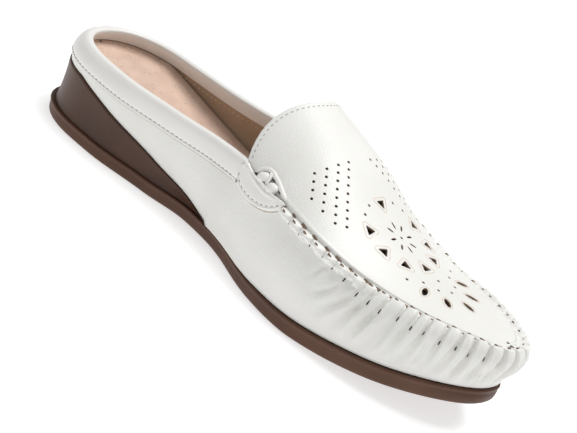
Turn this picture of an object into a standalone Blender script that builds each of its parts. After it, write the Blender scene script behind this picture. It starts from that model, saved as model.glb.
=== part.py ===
# Slip-on moccasin mule for a left foot, with a gathered apron seam and a brown wedge sole.
# X runs from heel to toe, Y to the wearer's left, Z up, in metres.
# The origin is on the floor, under the middle of the shoe's length and width.

import math

import bmesh
import bpy
import numpy as np
from mathutils import Vector

# Main sizes
LENGTH = 0.248
MIDDLE_X = 0.123
BALL_WIDTH = 0.088
HEEL_WIDTH = 0.062
TOE_SPRING = 0.0142
SPRING_POWER = 1.5
ARCH = 0.0014
MOUTH_HEIGHT = 0.044
INSTEP = 0.0720
FIT = 0.0003

# Sole
RIM = 0.0066
RIM_FRONT = 0.0011
LIP = 0.0012
TOE_TUCK = 0.0024
WEDGE_RISE = 0.0195
WEDGE_HOLLOW = 0.0004
WEDGE_PROUD = 0.0008
HEEL_LEDGE = 0.0016
WEDGE_END_HEIGHT = 0.0010
INSOLE_THICKNESS = 0.0030
INSOLE_CLEARANCE = 0.0008
INSOLE_EDGE = 0.0012

# Upper
LEATHER = 0.0020
FEATHER_INSET = 0.0012
WAIST_OVERHANG = 0.0024
WALL_BULGE = 0.0022
TOE_BULGE = 0.0010
TOE_ROLL = 0.0017
TONGUE_BOW = 0.0050
TONGUE_BOW_ROWS = 8
SEAM_ROLL = 0.0017
PUCKER_DEPTH = 0.0012
PUCKERS = 14

# Overlays
BAND_HEIGHT = 0.0092
BAND_TURN_IN = 0.0050
BAND_LEATHER = 0.0012
BAND_ROWS = (1.0, 0.75, 0.50, 0.28, 0.08)
BAND_ABOVE_SOLE = 0.0008
BAND_ABOVE_INSOLE = 0.0030
TAB_LENGTH = 0.0285
TAB_HEIGHT = 0.0125
TAB_END = 0.30
TAB_BELOW_SEAM = 0.0022
TAB_LEATHER = 0.0016
KNOT_LENGTH = 0.0185
KNOT_WIDTH = 0.0075
KNOT_BELOW_SEAM = 0.0018
KNOT_HEIGHT = 0.0032
KNOT_VALLEY = 0.35

# Perforations of the apron
FLOWER_FROM_TOE = 0.0681
PATTERN_TURN = -0.6
TRIANGLE_HEIGHT = 0.0038
TRIANGLE_BASE = 0.0044
PETAL_LENGTH = 0.0060
PETAL_WIDTH = 0.0028
CUT_DEPTH = 0.0060

# Where things start along the foot, as shares of the length
HEEL_ROUND = 0.14
TOE_ROUND = 0.78
WEDGE_FLAT = 0.10
WEDGE_END = 0.45
MOUTH = 0.480
SPRING_START = 0.69
REAR_STATIONS = 26
POINTS_PER_PUCKER = 3
FIRST_PUCKER = 0.602
PLAIN_STATIONS = 9
APRON_COLUMNS = 10

INNER, OUTER = -1, 1

# Sole outline: place as a share of LENGTH, sideways lean as a share of BALL_WIDTH,
# half width as a share of the local width
OUTLINE = (
    # along, lean, half
    (0.00, 0.000, 0.500),
    (0.12, 0.000, 0.500),
    (0.20, 0.006, 0.508),
    (0.30, 0.040, 0.466),
    (0.40, 0.068, 0.430),
    (0.50, 0.064, 0.434),
    (0.60, 0.034, 0.480),
    (0.67, 0.022, 0.500),
    (0.74, 0.014, 0.482),
    (0.82, -0.006, 0.430),
    (0.90, -0.032, 0.366),
    (0.96, -0.052, 0.315),
    (1.00, -0.060, 0.290),
)

# Upper edge of the wall, topline at the rear and seam in front: height as a share of
# MOUTH_HEIGHT, inset from the sole outline as a share of BALL_WIDTH on each side
WALL_TOP = (
    # along, height, inner, outer
    (0.00, 0.860, 0.050, 0.050),
    (0.16, 0.865, 0.016, 0.052),
    (0.32, 0.905, -0.030, 0.056),
    (0.44, 0.965, -0.038, 0.056),
    (0.50, 0.990, -0.030, 0.052),
    (0.60, 0.968, 0.012, 0.096),
    (0.68, 0.922, 0.036, 0.140),
    (0.74, 0.872, 0.062, 0.146),
    (0.80, 0.850, 0.086, 0.132),
    (0.88, 0.866, 0.090, 0.096),
    (0.95, 0.898, 0.082, 0.074),
    (1.00, 0.925, 0.062, 0.060),
)

# Ridge line of the apron, from tongue to toe: height as a share of INSTEP
CREST = (
    # along, height
    (0.470, 1.000),
    (0.530, 0.935),
    (0.600, 0.848),
    (0.668, 0.724),
    (0.727, 0.640),
    (0.789, 0.589),
    (0.884, 0.566),
    (0.950, 0.558),
    (1.000, 0.556),
)

# Side of the sole: inset from its outline, and height as a share of the rim there
SOLE_ROWS = (
    # inset, up
    (0.0030, 0.00),
    (0.0010, 0.09),
    (0.0004, 0.35),
    (0.0000, 0.60),
    (0.0002, 0.86),
    (LIP, 1.00),
)

# Triangular holes round the flower, from its centre, for one half of the pattern
TRIANGLES = (
    # forward, sideways
    (-0.0148, 0.0000),
    (-0.0056, 0.0157),
    (0.0039, 0.0157),
    (0.0119, 0.0102),
    (0.0152, 0.0000),
)

# Petal holes towards the toe, from the flower's centre, for one half of the pattern
PETALS = (
    # forward, sideways, turn in degrees
    (0.0260, 0.0136, 63.0),
    (0.0344, 0.0090, 34.0),
    (0.0389, 0.0000, 0.0),
)

# Rows up the wall: share of the way up, share of the bulge, share of the seam roll
WALL_ROWS = (
    # up, bulge, roll
    (0.00, 0.00, 0.0),
    (0.16, 0.55, 0.0),
    (0.38, 1.00, 0.0),
    (0.62, 0.85, 0.0),
    (0.80, 0.40, 0.2),
    (0.92, 0.10, 1.0),
    (1.00, 0.00, 0.7),
)

WHITE = (0.86, 0.85, 0.82)
BROWN = (0.075, 0.040, 0.025)
DARK_BROWN = (0.045, 0.024, 0.016)
SUEDE = (0.62, 0.46, 0.36)


def smoothstep(share):
    share = np.clip(share, 0.0, 1.0)
    return share * share * (3.0 - 2.0 * share)


def column(table, index, along):
    """Smooth curve through one column of a table, against its first column."""
    rows = np.array(table, float)
    places = rows[:, 0]
    values = rows[:, index]
    slopes = np.gradient(values, places)
    along = np.clip(along, places[0], places[-1])
    left = np.clip(np.searchsorted(places, along, side="right") - 1, 0, len(places) - 2)
    gap = places[left + 1] - places[left]
    t = (along - places[left]) / gap
    start = (1 + 2 * t) * (1 - t) ** 2 * values[left] + t * (1 - t) ** 2 * gap * slopes[left]
    end = t * t * (3 - 2 * t) * values[left + 1] - t * t * (1 - t) * gap * slopes[left + 1]
    return start + end


def local_width(along):
    return HEEL_WIDTH + (BALL_WIDTH - HEEL_WIDTH) * smoothstep((along - 0.20) / 0.44)


def end_round(along):
    """Closes the outline at heel and toe with superellipse ends."""
    heel = np.clip((HEEL_ROUND - along) / HEEL_ROUND, 0.0, 1.0)
    toe = np.clip((along - TOE_ROUND) / (1.0 - TOE_ROUND), 0.0, 1.0)
    return (1 - heel ** 2.2) ** (1 / 2.2) * (1 - toe ** 2.4) ** (1 / 2.4)


def outline_point(side, along):
    lean = column(OUTLINE, 1, along) * BALL_WIDTH
    half = column(OUTLINE, 2, along) * local_width(along) * end_round(along)
    return along * LENGTH, lean + side * half


def dense_side(side):
    """One side of the sole outline as a dense run of points, with outward normals."""
    turn = np.linspace(0.0, 1.0, 1201)
    along = (1 - np.cos(math.pi * turn)) / 2
    x, y = outline_point(side, along)
    dx = np.gradient(x)
    dy = np.gradient(y)
    dx[0] = dx[-1] = 0.0
    size = np.hypot(dx, dy)
    normal = np.stack([-dy / size * side, dx / size * side], 1)
    normal[0] = (-1.0, 0.0)
    normal[-1] = (1.0, 0.0)
    return along, np.stack([x, y], 1), normal


DENSE = {side: dense_side(side) for side in (INNER, OUTER)}
RUN = sum(np.r_[0.0, np.cumsum(np.hypot(*np.diff(DENSE[side][1], axis=0).T))] for side in DENSE)
MIDDLE_Y = (DENSE[INNER][1][:, 1].min() + DENSE[OUTER][1][:, 1].max()) / 2


def stations():
    """Places along the foot, evenly spaced round the outline between its landmarks."""
    dense_along = DENSE[INNER][0]
    mouth, pucker = np.interp([MOUTH, FIRST_PUCKER], dense_along, RUN)
    rear = np.linspace(0.0, mouth, REAR_STATIONS + 1)
    plain = np.linspace(mouth, pucker, PLAIN_STATIONS + 1)
    front = np.linspace(pucker, RUN[-1], PUCKERS * POINTS_PER_PUCKER + 1)
    return np.r_[rear, plain[1:], front[1:]]


STATION_RUN = stations()
MOUTH_STATION = REAR_STATIONS
PUCKER_STATION = REAR_STATIONS + PLAIN_STATIONS
LAST = len(STATION_RUN) - 1


def outline_at(side, station_run):
    along, points, normals = DENSE[side]
    x = np.interp(station_run, RUN, points[:, 0])
    y = np.interp(station_run, RUN, points[:, 1])
    nx = np.interp(station_run, RUN, normals[:, 0])
    ny = np.interp(station_run, RUN, normals[:, 1])
    size = np.hypot(nx, ny)
    share = np.interp(station_run, RUN, along)
    return share, np.stack([x, y], 1), np.stack([nx / size, ny / size], 1)


def placed(side, inset, height, station_run=STATION_RUN):
    """Points at an inset from the sole outline, in the part's own frame."""
    share, points, normals = outline_at(side, station_run)
    flat = points - normals * np.broadcast_to(inset, share.shape)[:, None]
    heights = np.broadcast_to(height, share.shape)
    return np.stack([flat[:, 0] - MIDDLE_X, flat[:, 1] - MIDDLE_Y, heights], 1)


def ground(along):
    """Underside of the sole: flat at heel and ball, a low arch, then toe spring."""
    arch = ARCH * smoothstep((along - 0.30) / 0.10) * smoothstep((0.56 - along) / 0.10)
    spring = TOE_SPRING * np.clip((along - SPRING_START) / (1 - SPRING_START), 0, 1) ** SPRING_POWER
    return arch + spring


def rim(along):
    """Thickness of the sole, greater under the forefoot."""
    return RIM + RIM_FRONT * smoothstep((along - 0.55) / 0.25)


def toe_tuck(along):
    """How far the sole and the wall's foot draw back under the toe."""
    return TOE_TUCK * smoothstep((along - 0.84) / 0.16)


def wedge_rise(along):
    slope = np.clip((WEDGE_END - along) / (WEDGE_END - WEDGE_FLAT), 0.0, 1.0)
    rise = WEDGE_END_HEIGHT + (WEDGE_RISE - WEDGE_END_HEIGHT) * slope
    return np.where(along <= WEDGE_END, rise, 0.0)


def bed(along):
    """Top of the sole, where the upper's edge and the insole rest."""
    return ground(along) + rim(along) + wedge_rise(along)


SHARE = outline_at(INNER, STATION_RUN)[0]
WEDGE_STATION = int(np.searchsorted(SHARE, WEDGE_END, side="right")) - 1
WEDGE_STATION -= WEDGE_STATION % 2


def new_object(name, verts, faces, material, sharp=40.0):
    mesh = bpy.data.meshes.new(name)
    mesh.from_pydata([tuple(v) for v in verts], [], faces)
    work = bmesh.new()
    work.from_mesh(mesh)
    bmesh.ops.remove_doubles(work, verts=work.verts, dist=1e-6)
    bmesh.ops.dissolve_degenerate(work, edges=work.edges, dist=1e-6)
    bmesh.ops.recalc_face_normals(work, faces=work.faces)
    if work.calc_volume(signed=True) < 0:
        bmesh.ops.reverse_faces(work, faces=work.faces)
    work.to_mesh(mesh)
    work.free()
    mesh.shade_smooth()
    mesh.set_sharp_from_angle(angle=math.radians(sharp))
    mesh.materials.append(material)
    obj = bpy.data.objects.new(name, mesh)
    bpy.context.collection.objects.link(obj)
    return obj


def new_material(name, colour, roughness):
    material = bpy.data.materials.new(name)
    material.use_nodes = True
    shader = material.node_tree.nodes["Principled BSDF"]
    shader.inputs["Base Color"].default_value = (*colour, 1.0)
    shader.inputs["Roughness"].default_value = roughness
    shader.inputs["Metallic"].default_value = 0.0
    return material


def swept(loops, capped):
    """Joins closed loops of equal length into one body, with end faces where asked."""
    count = len(loops[0])
    verts = np.concatenate(loops)
    faces = []
    for ring in range(len(loops) - 1):
        for k in range(count):
            a = ring * count + k
            b = ring * count + (k + 1) % count
            faces.append((a, b, b + count, a + count))
    last = (len(loops) - 1) * count
    if capped[0]:
        faces.append(tuple(range(count)))
    if capped[1]:
        faces.append(tuple(range(last, last + count)))
    return verts, faces


def foot_solid(name, rows, used, material, open_front=False):
    """Solid of the foot's plan, from rows of (inset, height) going up its side."""
    sides = {side: [placed(side, inset(side), height)[used] for inset, height in rows]
             for side in (INNER, OUTER)}
    loops = []
    for k in range(len(used)):
        up = [row[k] for row in sides[INNER]]
        down = [row[k] for row in reversed(sides[OUTER])]
        loops.append(np.array(up + down))
    verts, faces = swept(loops, (False, open_front))
    return new_object(name, verts, faces, material)


def constant(value):
    return lambda side: value


def every_other_station():
    return np.unique(np.append(np.arange(0, LAST, 2), LAST))


def outsole(material):
    """Rubber sole with a protruding lip round its upper edge and a rounded lower edge."""
    rows = [(constant(inset + toe_tuck(SHARE)), ground(SHARE) + up * rim(SHARE))
            for inset, up in SOLE_ROWS]
    return foot_solid("outsole", rows, every_other_station(), material)


def heel_wedge(material):
    """Wedge from the heel to the waist, slightly hollow at its side."""
    base = ground(SHARE) + rim(SHARE) + FIT
    top = bed(SHARE)
    ledge = LIP + HEEL_LEDGE * smoothstep((0.13 - SHARE) / 0.13)

    def flare(share):
        return lambda side: ledge + share * (wall_inset(side, 0.0) - WEDGE_PROUD - LIP)

    rows = (
        (flare(0.0), base),
        (lambda side: flare(0.5)(side) + WEDGE_HOLLOW, (base + top) / 2),
        (flare(1.0), top),
    )
    used = np.arange(0, WEDGE_STATION + 1, 2)
    return foot_solid("heel_wedge", rows, used, material, open_front=True)


def wall_inset(side, up):
    """Inset of the wall's outer face, without its bulge, at a share of the way up."""
    top = column(WALL_TOP, 2 if side == INNER else 3, SHARE) * BALL_WIDTH
    waist = np.exp(-((SHARE - 0.46) / 0.13) ** 2) * (WAIST_OVERHANG if side == INNER else 0.0)
    foot = FEATHER_INSET - waist + toe_tuck(SHARE)
    return foot + (top - foot) * (1 - math.cos(math.pi / 2 * up)) ** 0.9


def insole(material):
    """Footbed pad inside the upper, with a rounded upper edge."""
    base = bed(SHARE) + FIT

    def inset(extra):
        return lambda side: wall_inset(side, 0.0) + LEATHER + INSOLE_CLEARANCE + extra

    rows = (
        (inset(0.0), base),
        (inset(0.0), base + 0.7 * INSOLE_THICKNESS),
        (inset(INSOLE_EDGE), base + INSOLE_THICKNESS),
    )
    return foot_solid("insole", rows, every_other_station(), material)


def wall_columns(side):
    """Outer face of the wall, station by station, from the sole to its upper edge."""
    foot = bed(SHARE) + FIT
    top = column(WALL_TOP, 1, SHARE) * MOUTH_HEIGHT
    stand = smoothstep((0.86 - SHARE) / 0.2)
    toe = smoothstep((SHARE - 0.80) / 0.16)
    rows = []
    for up, bulge, _ in WALL_ROWS:
        rise = stand * up + (1 - stand) * math.sin(math.pi / 2 * up)
        swell = WALL_BULGE * smoothstep((top - foot) / 0.030) + TOE_BULGE * toe
        rows.append(placed(side, wall_inset(side, up) - swell * bulge, foot + (top - foot) * rise))
    return np.array(rows)


def apron_rows(inner_edge, outer_edge):
    """Apron between the two seams, one row for each pair of stations from the mouth on."""
    spread = -np.cos(np.linspace(0.0, math.pi, APRON_COLUMNS + 1))
    rows = []
    for k in range(MOUTH_STATION, LAST):
        a = inner_edge[k]
        b = outer_edge[k]
        middle = (a + b) / 2
        along = (middle[0] + MIDDLE_X) / LENGTH
        tip = smoothstep((LAST - k) / 5.0)
        bow = TONGUE_BOW * smoothstep(1 - (k - MOUTH_STATION) / TONGUE_BOW_ROWS)
        rise = (column(CREST, 1, along) * INSTEP - middle[2]) * tip
        row = []
        for u in spread:
            point = middle + (b - a) / 2 * u
            point[2] += rise * (1 - abs(u) ** 2.5)
            point[0] -= bow * 4 * u ** 2 * (1 - u ** 2)
            row.append(point)
        rows.append(row)
    return np.array(rows)


class Shell:
    """Outer face of the upper: wall columns, apron rows and one list of vertices."""

    def __init__(self):
        self.wall = {side: wall_columns(side) for side in (INNER, OUTER)}
        self.apron = apron_rows(self.wall[INNER][-1], self.wall[OUTER][-1])
        self.verts = []
        self.index = {}
        for side in (INNER, OUTER):
            for row in range(len(WALL_ROWS)):
                for k in range(LAST + 1):
                    self.add(("wall", side, row, k), self.wall[side][row][k])
        for k in range(len(self.apron)):
            for m in range(1, APRON_COLUMNS):
                self.add(("apron", k, m), self.apron[k][m])
        self.faces = self.make_faces()
        self.normals = self.make_normals()

    def add(self, key, point):
        if key[0] == "wall" and key[1] == OUTER and key[3] in (0, LAST):
            self.index[key] = self.index[("wall", INNER, key[2], key[3])]
            return
        self.index[key] = len(self.verts)
        self.verts.append(point)

    def apron_index(self, k, m):
        """Vertex of apron row k, where row 0 is the tongue's edge."""
        station = k + MOUTH_STATION
        if station == LAST or m == 0:
            return self.index[("wall", INNER, len(WALL_ROWS) - 1, station)]
        if m == APRON_COLUMNS:
            return self.index[("wall", OUTER, len(WALL_ROWS) - 1, station)]
        return self.index[("apron", k, m)]

    def make_faces(self):
        faces = []
        for side in (INNER, OUTER):
            for row in range(len(WALL_ROWS) - 1):
                for k in range(LAST):
                    corners = [(row, k), (row, k + 1), (row + 1, k + 1), (row + 1, k)]
                    if side == OUTER:
                        corners.reverse()
                    faces.append([self.index[("wall", side, r, s)] for r, s in corners])
        for k in range(len(self.apron)):
            for m in range(APRON_COLUMNS):
                corners = [self.apron_index(k, m), self.apron_index(k + 1, m),
                           self.apron_index(k + 1, m + 1), self.apron_index(k, m + 1)]
                face = []
                for corner in corners:
                    if corner not in face:
                        face.append(corner)
                faces.append(face)
        return faces

    def make_normals(self):
        verts = np.array(self.verts)
        normals = np.zeros_like(verts)
        for face in self.faces:
            points = verts[face]
            across = points - np.roll(points, -1, axis=0)
            normal = np.cross(across, np.roll(across, -1, axis=0)).sum(axis=0)
            normals[face] += normal
        normals /= np.linalg.norm(normals, axis=1)[:, None]
        return normals

    def roll(self):
        """Outward push of each vertex: the seam roll, notched between puckers."""
        push = np.zeros(len(self.verts))
        top = len(WALL_ROWS) - 1
        for side in (INNER, OUTER):
            for k in range(PUCKER_STATION, LAST + 1):
                phase = (k - PUCKER_STATION) % POINTS_PER_PUCKER
                notch = PUCKER_DEPTH if phase == 0 else 0.0
                start = smoothstep((k - PUCKER_STATION) / 2.0)
                height = SEAM_ROLL + TOE_ROLL * smoothstep((SHARE[k] - 0.75) / 0.2)
                for row in range(top + 1):
                    share = WALL_ROWS[row][2]
                    push[self.index[("wall", side, row, k)]] = start * (height - notch) * share
        return push

    def boundary(self):
        """Directed edges that only one face uses."""
        edges = set()
        for face in self.faces:
            for a, b in zip(face, face[1:] + face[:1]):
                edges.add((a, b))
        return [(a, b) for a, b in edges if (b, a) not in edges]


def upper(shell, material):
    """Hollow upper: the outer face, an inner face one leather thickness in, and its rims."""
    verts = np.array(shell.verts)
    outer = verts + shell.normals * shell.roll()[:, None]
    lean = shell.normals.copy()
    for side in (INNER, OUTER):
        for k in range(LAST + 1):
            lean[shell.index[("wall", side, 0, k)], 2] = 0.0
    lean /= np.linalg.norm(lean, axis=1)[:, None]
    inner = verts - lean * LEATHER
    count = len(verts)
    faces = [list(face) for face in shell.faces]
    faces += [[corner + count for corner in reversed(face)] for face in shell.faces]
    faces += [[b, a, a + count, b + count] for a, b in sorted(shell.boundary())]
    return new_object("upper", np.concatenate([outer, inner]), faces, material, 50.0)


def across_seam(shell, side, station):
    """Polyline from the sole up the wall and over the apron, its normals, and run from the seam."""
    keys = [("wall", side, row, station) for row in range(len(WALL_ROWS))]
    indices = [shell.index[key] for key in keys]
    if MOUTH_STATION <= station < LAST:
        cols = range(1, APRON_COLUMNS // 2 + 1)
        row = station - MOUTH_STATION
        indices += [shell.apron_index(row, m if side == INNER else APRON_COLUMNS - m)
                    for m in cols]
    points = np.array(shell.verts)[indices]
    run = np.r_[0.0, np.cumsum(np.linalg.norm(np.diff(points, axis=0), axis=1))]
    run -= run[len(WALL_ROWS) - 1]
    return points, shell.normals[indices], run


def on_shell(shell, side, station, run, lift):
    """Point lifted off the upper's outer face, at a run above (or below) the seam."""
    points, normals, runs = across_seam(shell, side, station)
    place = np.array([np.interp(run, runs, points[:, i]) for i in range(3)])
    normal = np.array([np.interp(run, runs, normals[:, i]) for i in range(3)])
    return place + normal / np.linalg.norm(normal) * lift


def collar_band(shell, material):
    """Folded cuff over the topline, from one mouth corner round the heel to the other."""
    near = FIT
    far = FIT + BAND_LEATHER
    back = -LEATHER - FIT
    deep = -LEATHER - FIT - BAND_LEATHER
    loops = []
    route = [(INNER, k) for k in range(MOUTH_STATION - 1, 0, -1)]
    route += [(OUTER, k) for k in range(0, MOUTH_STATION)]
    for side, k in route:
        wall_height = -across_seam(shell, side, k)[2][0]
        drop = min(BAND_HEIGHT, wall_height - BAND_ABOVE_SOLE)
        turn = min(BAND_TURN_IN, wall_height - INSOLE_THICKNESS - BAND_ABOVE_INSOLE)

        def at(run, lift, rise=0.0):
            return on_shell(shell, side, k, run, lift) + (0.0, 0.0, rise)

        outside = [at(-drop * share, far) for share in BAND_ROWS]
        underside = [at(-drop * share, near) for share in reversed(BAND_ROWS)]
        fold = [at(0.0, far * 0.6, far * 0.7), at(0.0, (near + back) / 2, far),
                at(0.0, deep * 0.9, far * 0.7)]
        inside = [at(-0.001, deep), at(-turn / 2, deep), at(-turn, deep), at(-turn, back),
                  at(-turn / 2, back), at(0.0, back, near), at(0.0, near, near)]
        loops.append(np.array(outside + fold + inside + underside))
    verts, faces = swept(loops, (True, True))
    return new_object("collar_band", verts, faces, material, 50.0)


def station_span(shell, side, start, length):
    """Stations whose seam lies within a length, measured along the seam from a station."""
    top = shell.wall[side][-1]
    run = np.r_[0.0, np.cumsum(np.linalg.norm(np.diff(top, axis=0), axis=1))]
    run -= run[start]
    inside = [k for k in range(start, LAST) if run[k] <= length]
    return inside, run[inside] / run[inside[-1]]


def overlay(shell, name, side, spans, lifts, material):
    """Plate that follows the upper: for each station, a span of runs and its thickness."""
    loops = []
    for station, low, high, thick in spans:
        shares = np.linspace(0.0, 1.0, len(lifts))
        top = [on_shell(shell, side, station, low + (high - low) * s, FIT + thick * lift)
               for s, lift in zip(shares, lifts)]
        under = [on_shell(shell, side, station, low + (high - low) * s, FIT)
                 for s in reversed(shares)]
        loops.append(np.array(top + under))
    verts, faces = swept(loops, (True, True))
    return new_object(name, verts, faces, material)


def tab(shell, side, name, material):
    """Half-oval leather tab just below the seam, forward of the mouth corner."""
    stations_used, shares = station_span(shell, side, MOUTH_STATION, TAB_LENGTH)
    spans = []
    for station, share in zip(stations_used, shares):
        bow = math.sqrt(max(0.0, 1 - (2 * share - 1) ** 2))
        depth = TAB_HEIGHT * (TAB_END + (1 - TAB_END) * bow)
        spans.append((station, -depth, -TAB_BELOW_SEAM, TAB_LEATHER))
    return overlay(shell, name, side, spans, (0.7, 1.0, 1.0, 0.7), material)


def knot(shell, side, name, material):
    """Strip woven over the seam above the tab, with two rounded lumps."""
    stations_used, shares = station_span(shell, side, MOUTH_STATION + 1, KNOT_LENGTH)
    spans = []
    for station, share in zip(stations_used, shares):
        lump = KNOT_VALLEY + (1 - KNOT_VALLEY) * abs(math.sin(2 * math.pi * share))
        upper_edge = KNOT_WIDTH - KNOT_BELOW_SEAM
        spans.append((station, -KNOT_BELOW_SEAM, upper_edge, KNOT_HEIGHT * lump))
    return overlay(shell, name, side, spans, (0.2, 0.8, 1.0, 0.8, 0.2), material)


def apron_spot(shell, x, y):
    """Point and normal on the apron above a place of the plan."""
    best = None
    for k in range(len(shell.apron) - 1):
        for m in range(APRON_COLUMNS):
            corners = [shell.apron[k][m], shell.apron[k + 1][m],
                       shell.apron[k + 1][m + 1], shell.apron[k][m + 1]]
            centre = np.mean(corners, axis=0)
            far = np.hypot(centre[0] - x, centre[1] - y)
            if best is None or far < best[0]:
                best = (far, corners, centre)
    corners, centre = best[1], best[2]
    normal = np.cross(corners[1] - corners[3], corners[2] - corners[0])
    normal /= np.linalg.norm(normal)
    if normal[2] < 0:
        normal = -normal
    height = centre[2] - (normal[0] * (x - centre[0]) + normal[1] * (y - centre[1])) / normal[2]
    return Vector((x, y, height)), Vector(normal)


def apron_middle(shell, x):
    """Sideways place of the apron's middle line."""
    middles = (shell.apron[:, 0] + shell.apron[:, -1]) / 2
    return float(np.interp(x, middles[:, 0], middles[:, 1]))


def cut_hole(shell, target, name, shape, x, y, turn):
    """Cuts one straight hole through the apron along its normal."""
    spot, normal = apron_spot(shell, x, y)
    forward = Vector((1.0, 0.0, 0.0))
    sideways = normal.cross(forward).normalized()
    forward = sideways.cross(normal).normalized()
    cos, sin = math.cos(turn), math.sin(turn)
    verts = []
    for level in (-CUT_DEPTH, CUT_DEPTH):
        for a, b in shape:
            u = a * cos - b * sin
            v = a * sin + b * cos
            verts.append(spot + forward * u + sideways * v + normal * level)
    count = len(shape)
    faces = [tuple(range(count)), tuple(range(count, 2 * count))]
    faces += [(k, (k + 1) % count, (k + 1) % count + count, k + count) for k in range(count)]
    cutter = new_object(name, verts, faces, target.data.materials[0])
    cutter.hide_render = True
    cutter.display_type = "WIRE"
    modifier = target.modifiers.new(name, "BOOLEAN")
    modifier.operation = "DIFFERENCE"
    modifier.solver = "EXACT"
    modifier.object = cutter


def perforate(shell, target):
    """Ring of triangles that point at the flower, and a fan of petals towards the toe."""
    x = LENGTH - MIDDLE_X - FLOWER_FROM_TOE
    y = apron_middle(shell, x)
    apex = -TRIANGLE_HEIGHT * 2 / 3
    back = TRIANGLE_HEIGHT / 3
    triangle = [(apex, 0.0), (back, -TRIANGLE_BASE / 2), (back, TRIANGLE_BASE / 2)]
    petal = [(PETAL_LENGTH / 2, 0.0), (0.0, PETAL_WIDTH / 2),
             (-PETAL_LENGTH / 2, 0.0), (0.0, -PETAL_WIDTH / 2)]
    places = [(triangle, forward, sideways, math.degrees(math.atan2(sideways, forward)))
              for forward, sideways in TRIANGLES]
    places += [(petal, forward, sideways, turn) for forward, sideways, turn in PETALS]
    tilt = math.radians(PATTERN_TURN)
    number = 0
    for shape, forward, sideways, turn in places:
        for side in (INNER, OUTER) if sideways > 0 else (OUTER,):
            there = (x + forward * math.cos(tilt) - side * sideways * math.sin(tilt),
                     y + forward * math.sin(tilt) + side * sideways * math.cos(tilt))
            name = "cutter_%02d" % number
            cut_hole(shell, target, name, shape, *there, side * math.radians(turn) + tilt)
            number += 1


def build():
    for obj in list(bpy.data.objects):
        bpy.data.objects.remove(obj, do_unlink=True)
    white = new_material("white_leather", WHITE, 0.45)
    brown = new_material("brown_rubber", BROWN, 0.50)
    dark = new_material("dark_brown_wedge", DARK_BROWN, 0.35)
    suede = new_material("pink_suede", SUEDE, 0.90)
    outsole(brown)
    heel_wedge(dark)
    insole(suede)
    shell = Shell()
    shoe_upper = upper(shell, white)
    perforate(shell, shoe_upper)
    collar_band(shell, white)
    for side, word in ((INNER, "inner"), (OUTER, "outer")):
        tab(shell, side, "tab_" + word, white)
        knot(shell, side, "knot_" + word, white)


build()
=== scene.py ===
import math

import bmesh
import bpy
import numpy as np
from mathutils import Matrix, Vector
from mathutils.bvhtree import BVHTree
from mathutils.geometry import delaunay_2d_cdt
from mathutils.kdtree import KDTree


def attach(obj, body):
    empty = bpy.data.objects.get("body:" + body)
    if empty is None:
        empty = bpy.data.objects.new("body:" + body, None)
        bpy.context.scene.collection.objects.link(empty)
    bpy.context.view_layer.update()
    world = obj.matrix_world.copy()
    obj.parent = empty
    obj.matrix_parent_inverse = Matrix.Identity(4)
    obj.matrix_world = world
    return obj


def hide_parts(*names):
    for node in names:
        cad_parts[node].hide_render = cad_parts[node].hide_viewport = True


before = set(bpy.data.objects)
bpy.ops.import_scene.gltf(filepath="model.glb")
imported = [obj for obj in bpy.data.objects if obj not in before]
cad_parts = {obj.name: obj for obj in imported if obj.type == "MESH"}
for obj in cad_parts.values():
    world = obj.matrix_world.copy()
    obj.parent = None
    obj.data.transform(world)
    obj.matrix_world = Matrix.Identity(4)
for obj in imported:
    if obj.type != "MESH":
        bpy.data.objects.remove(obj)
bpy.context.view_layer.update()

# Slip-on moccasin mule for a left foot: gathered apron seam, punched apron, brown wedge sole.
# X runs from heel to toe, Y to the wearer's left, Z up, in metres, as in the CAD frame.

MM = 0.001

LENGTH = 0.248
MIDDLE_X = 0.123
BALL_WIDTH = 0.088
HEEL_WIDTH = 0.062
TOE_SPRING = 0.0142
SPRING_POWER = 1.5
ARCH = 0.0014
MOUTH_HEIGHT = 0.044
INSTEP = 0.0720
RIM = 0.0066
RIM_FRONT = 0.0011
TOE_TUCK = 0.0024
WEDGE_RISE = 0.0195
WEDGE_END_HEIGHT = 0.0010
FOOT_INSET = 0.0012
WAIST_SWELL = 0.0024
FOOT_GAP = 0.0003
SIDE_SWELL = 0.0022
TOE_SWELL = 0.0010
TONGUE_BOW = 0.0050
LEATHER = 0.0020
HEEL_ROUND = 0.14
TOE_ROUND = 0.78
WEDGE_FLAT = 0.10
WEDGE_END = 0.45
SPRING_START = 0.69
MOUTH = 0.480
FIRST_PUCKER = 0.602
WAIST = 0.46
WAIST_SPREAD = 0.13
PUCKERS = 14
INNER, OUTER = -1, 1

OUTLINE = (
    # along, lean, half
    (0.00, 0.000, 0.500),
    (0.12, 0.000, 0.500),
    (0.20, 0.006, 0.508),
    (0.30, 0.040, 0.466),
    (0.40, 0.068, 0.430),
    (0.50, 0.064, 0.434),
    (0.60, 0.034, 0.480),
    (0.67, 0.022, 0.500),
    (0.74, 0.014, 0.482),
    (0.82, -0.006, 0.430),
    (0.90, -0.032, 0.366),
    (0.96, -0.052, 0.315),
    (1.00, -0.060, 0.290),
)

WALL_TOP = (
    # along, height, inner, outer
    (0.00, 0.860, 0.050, 0.050),
    (0.16, 0.865, 0.016, 0.052),
    (0.32, 0.905, -0.030, 0.056),
    (0.44, 0.965, -0.038, 0.056),
    (0.50, 0.990, -0.030, 0.052),
    (0.60, 0.968, 0.012, 0.096),
    (0.68, 0.922, 0.036, 0.140),
    (0.74, 0.872, 0.062, 0.146),
    (0.80, 0.850, 0.086, 0.132),
    (0.88, 0.866, 0.090, 0.096),
    (0.95, 0.898, 0.082, 0.074),
    (1.00, 0.925, 0.062, 0.060),
)

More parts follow.
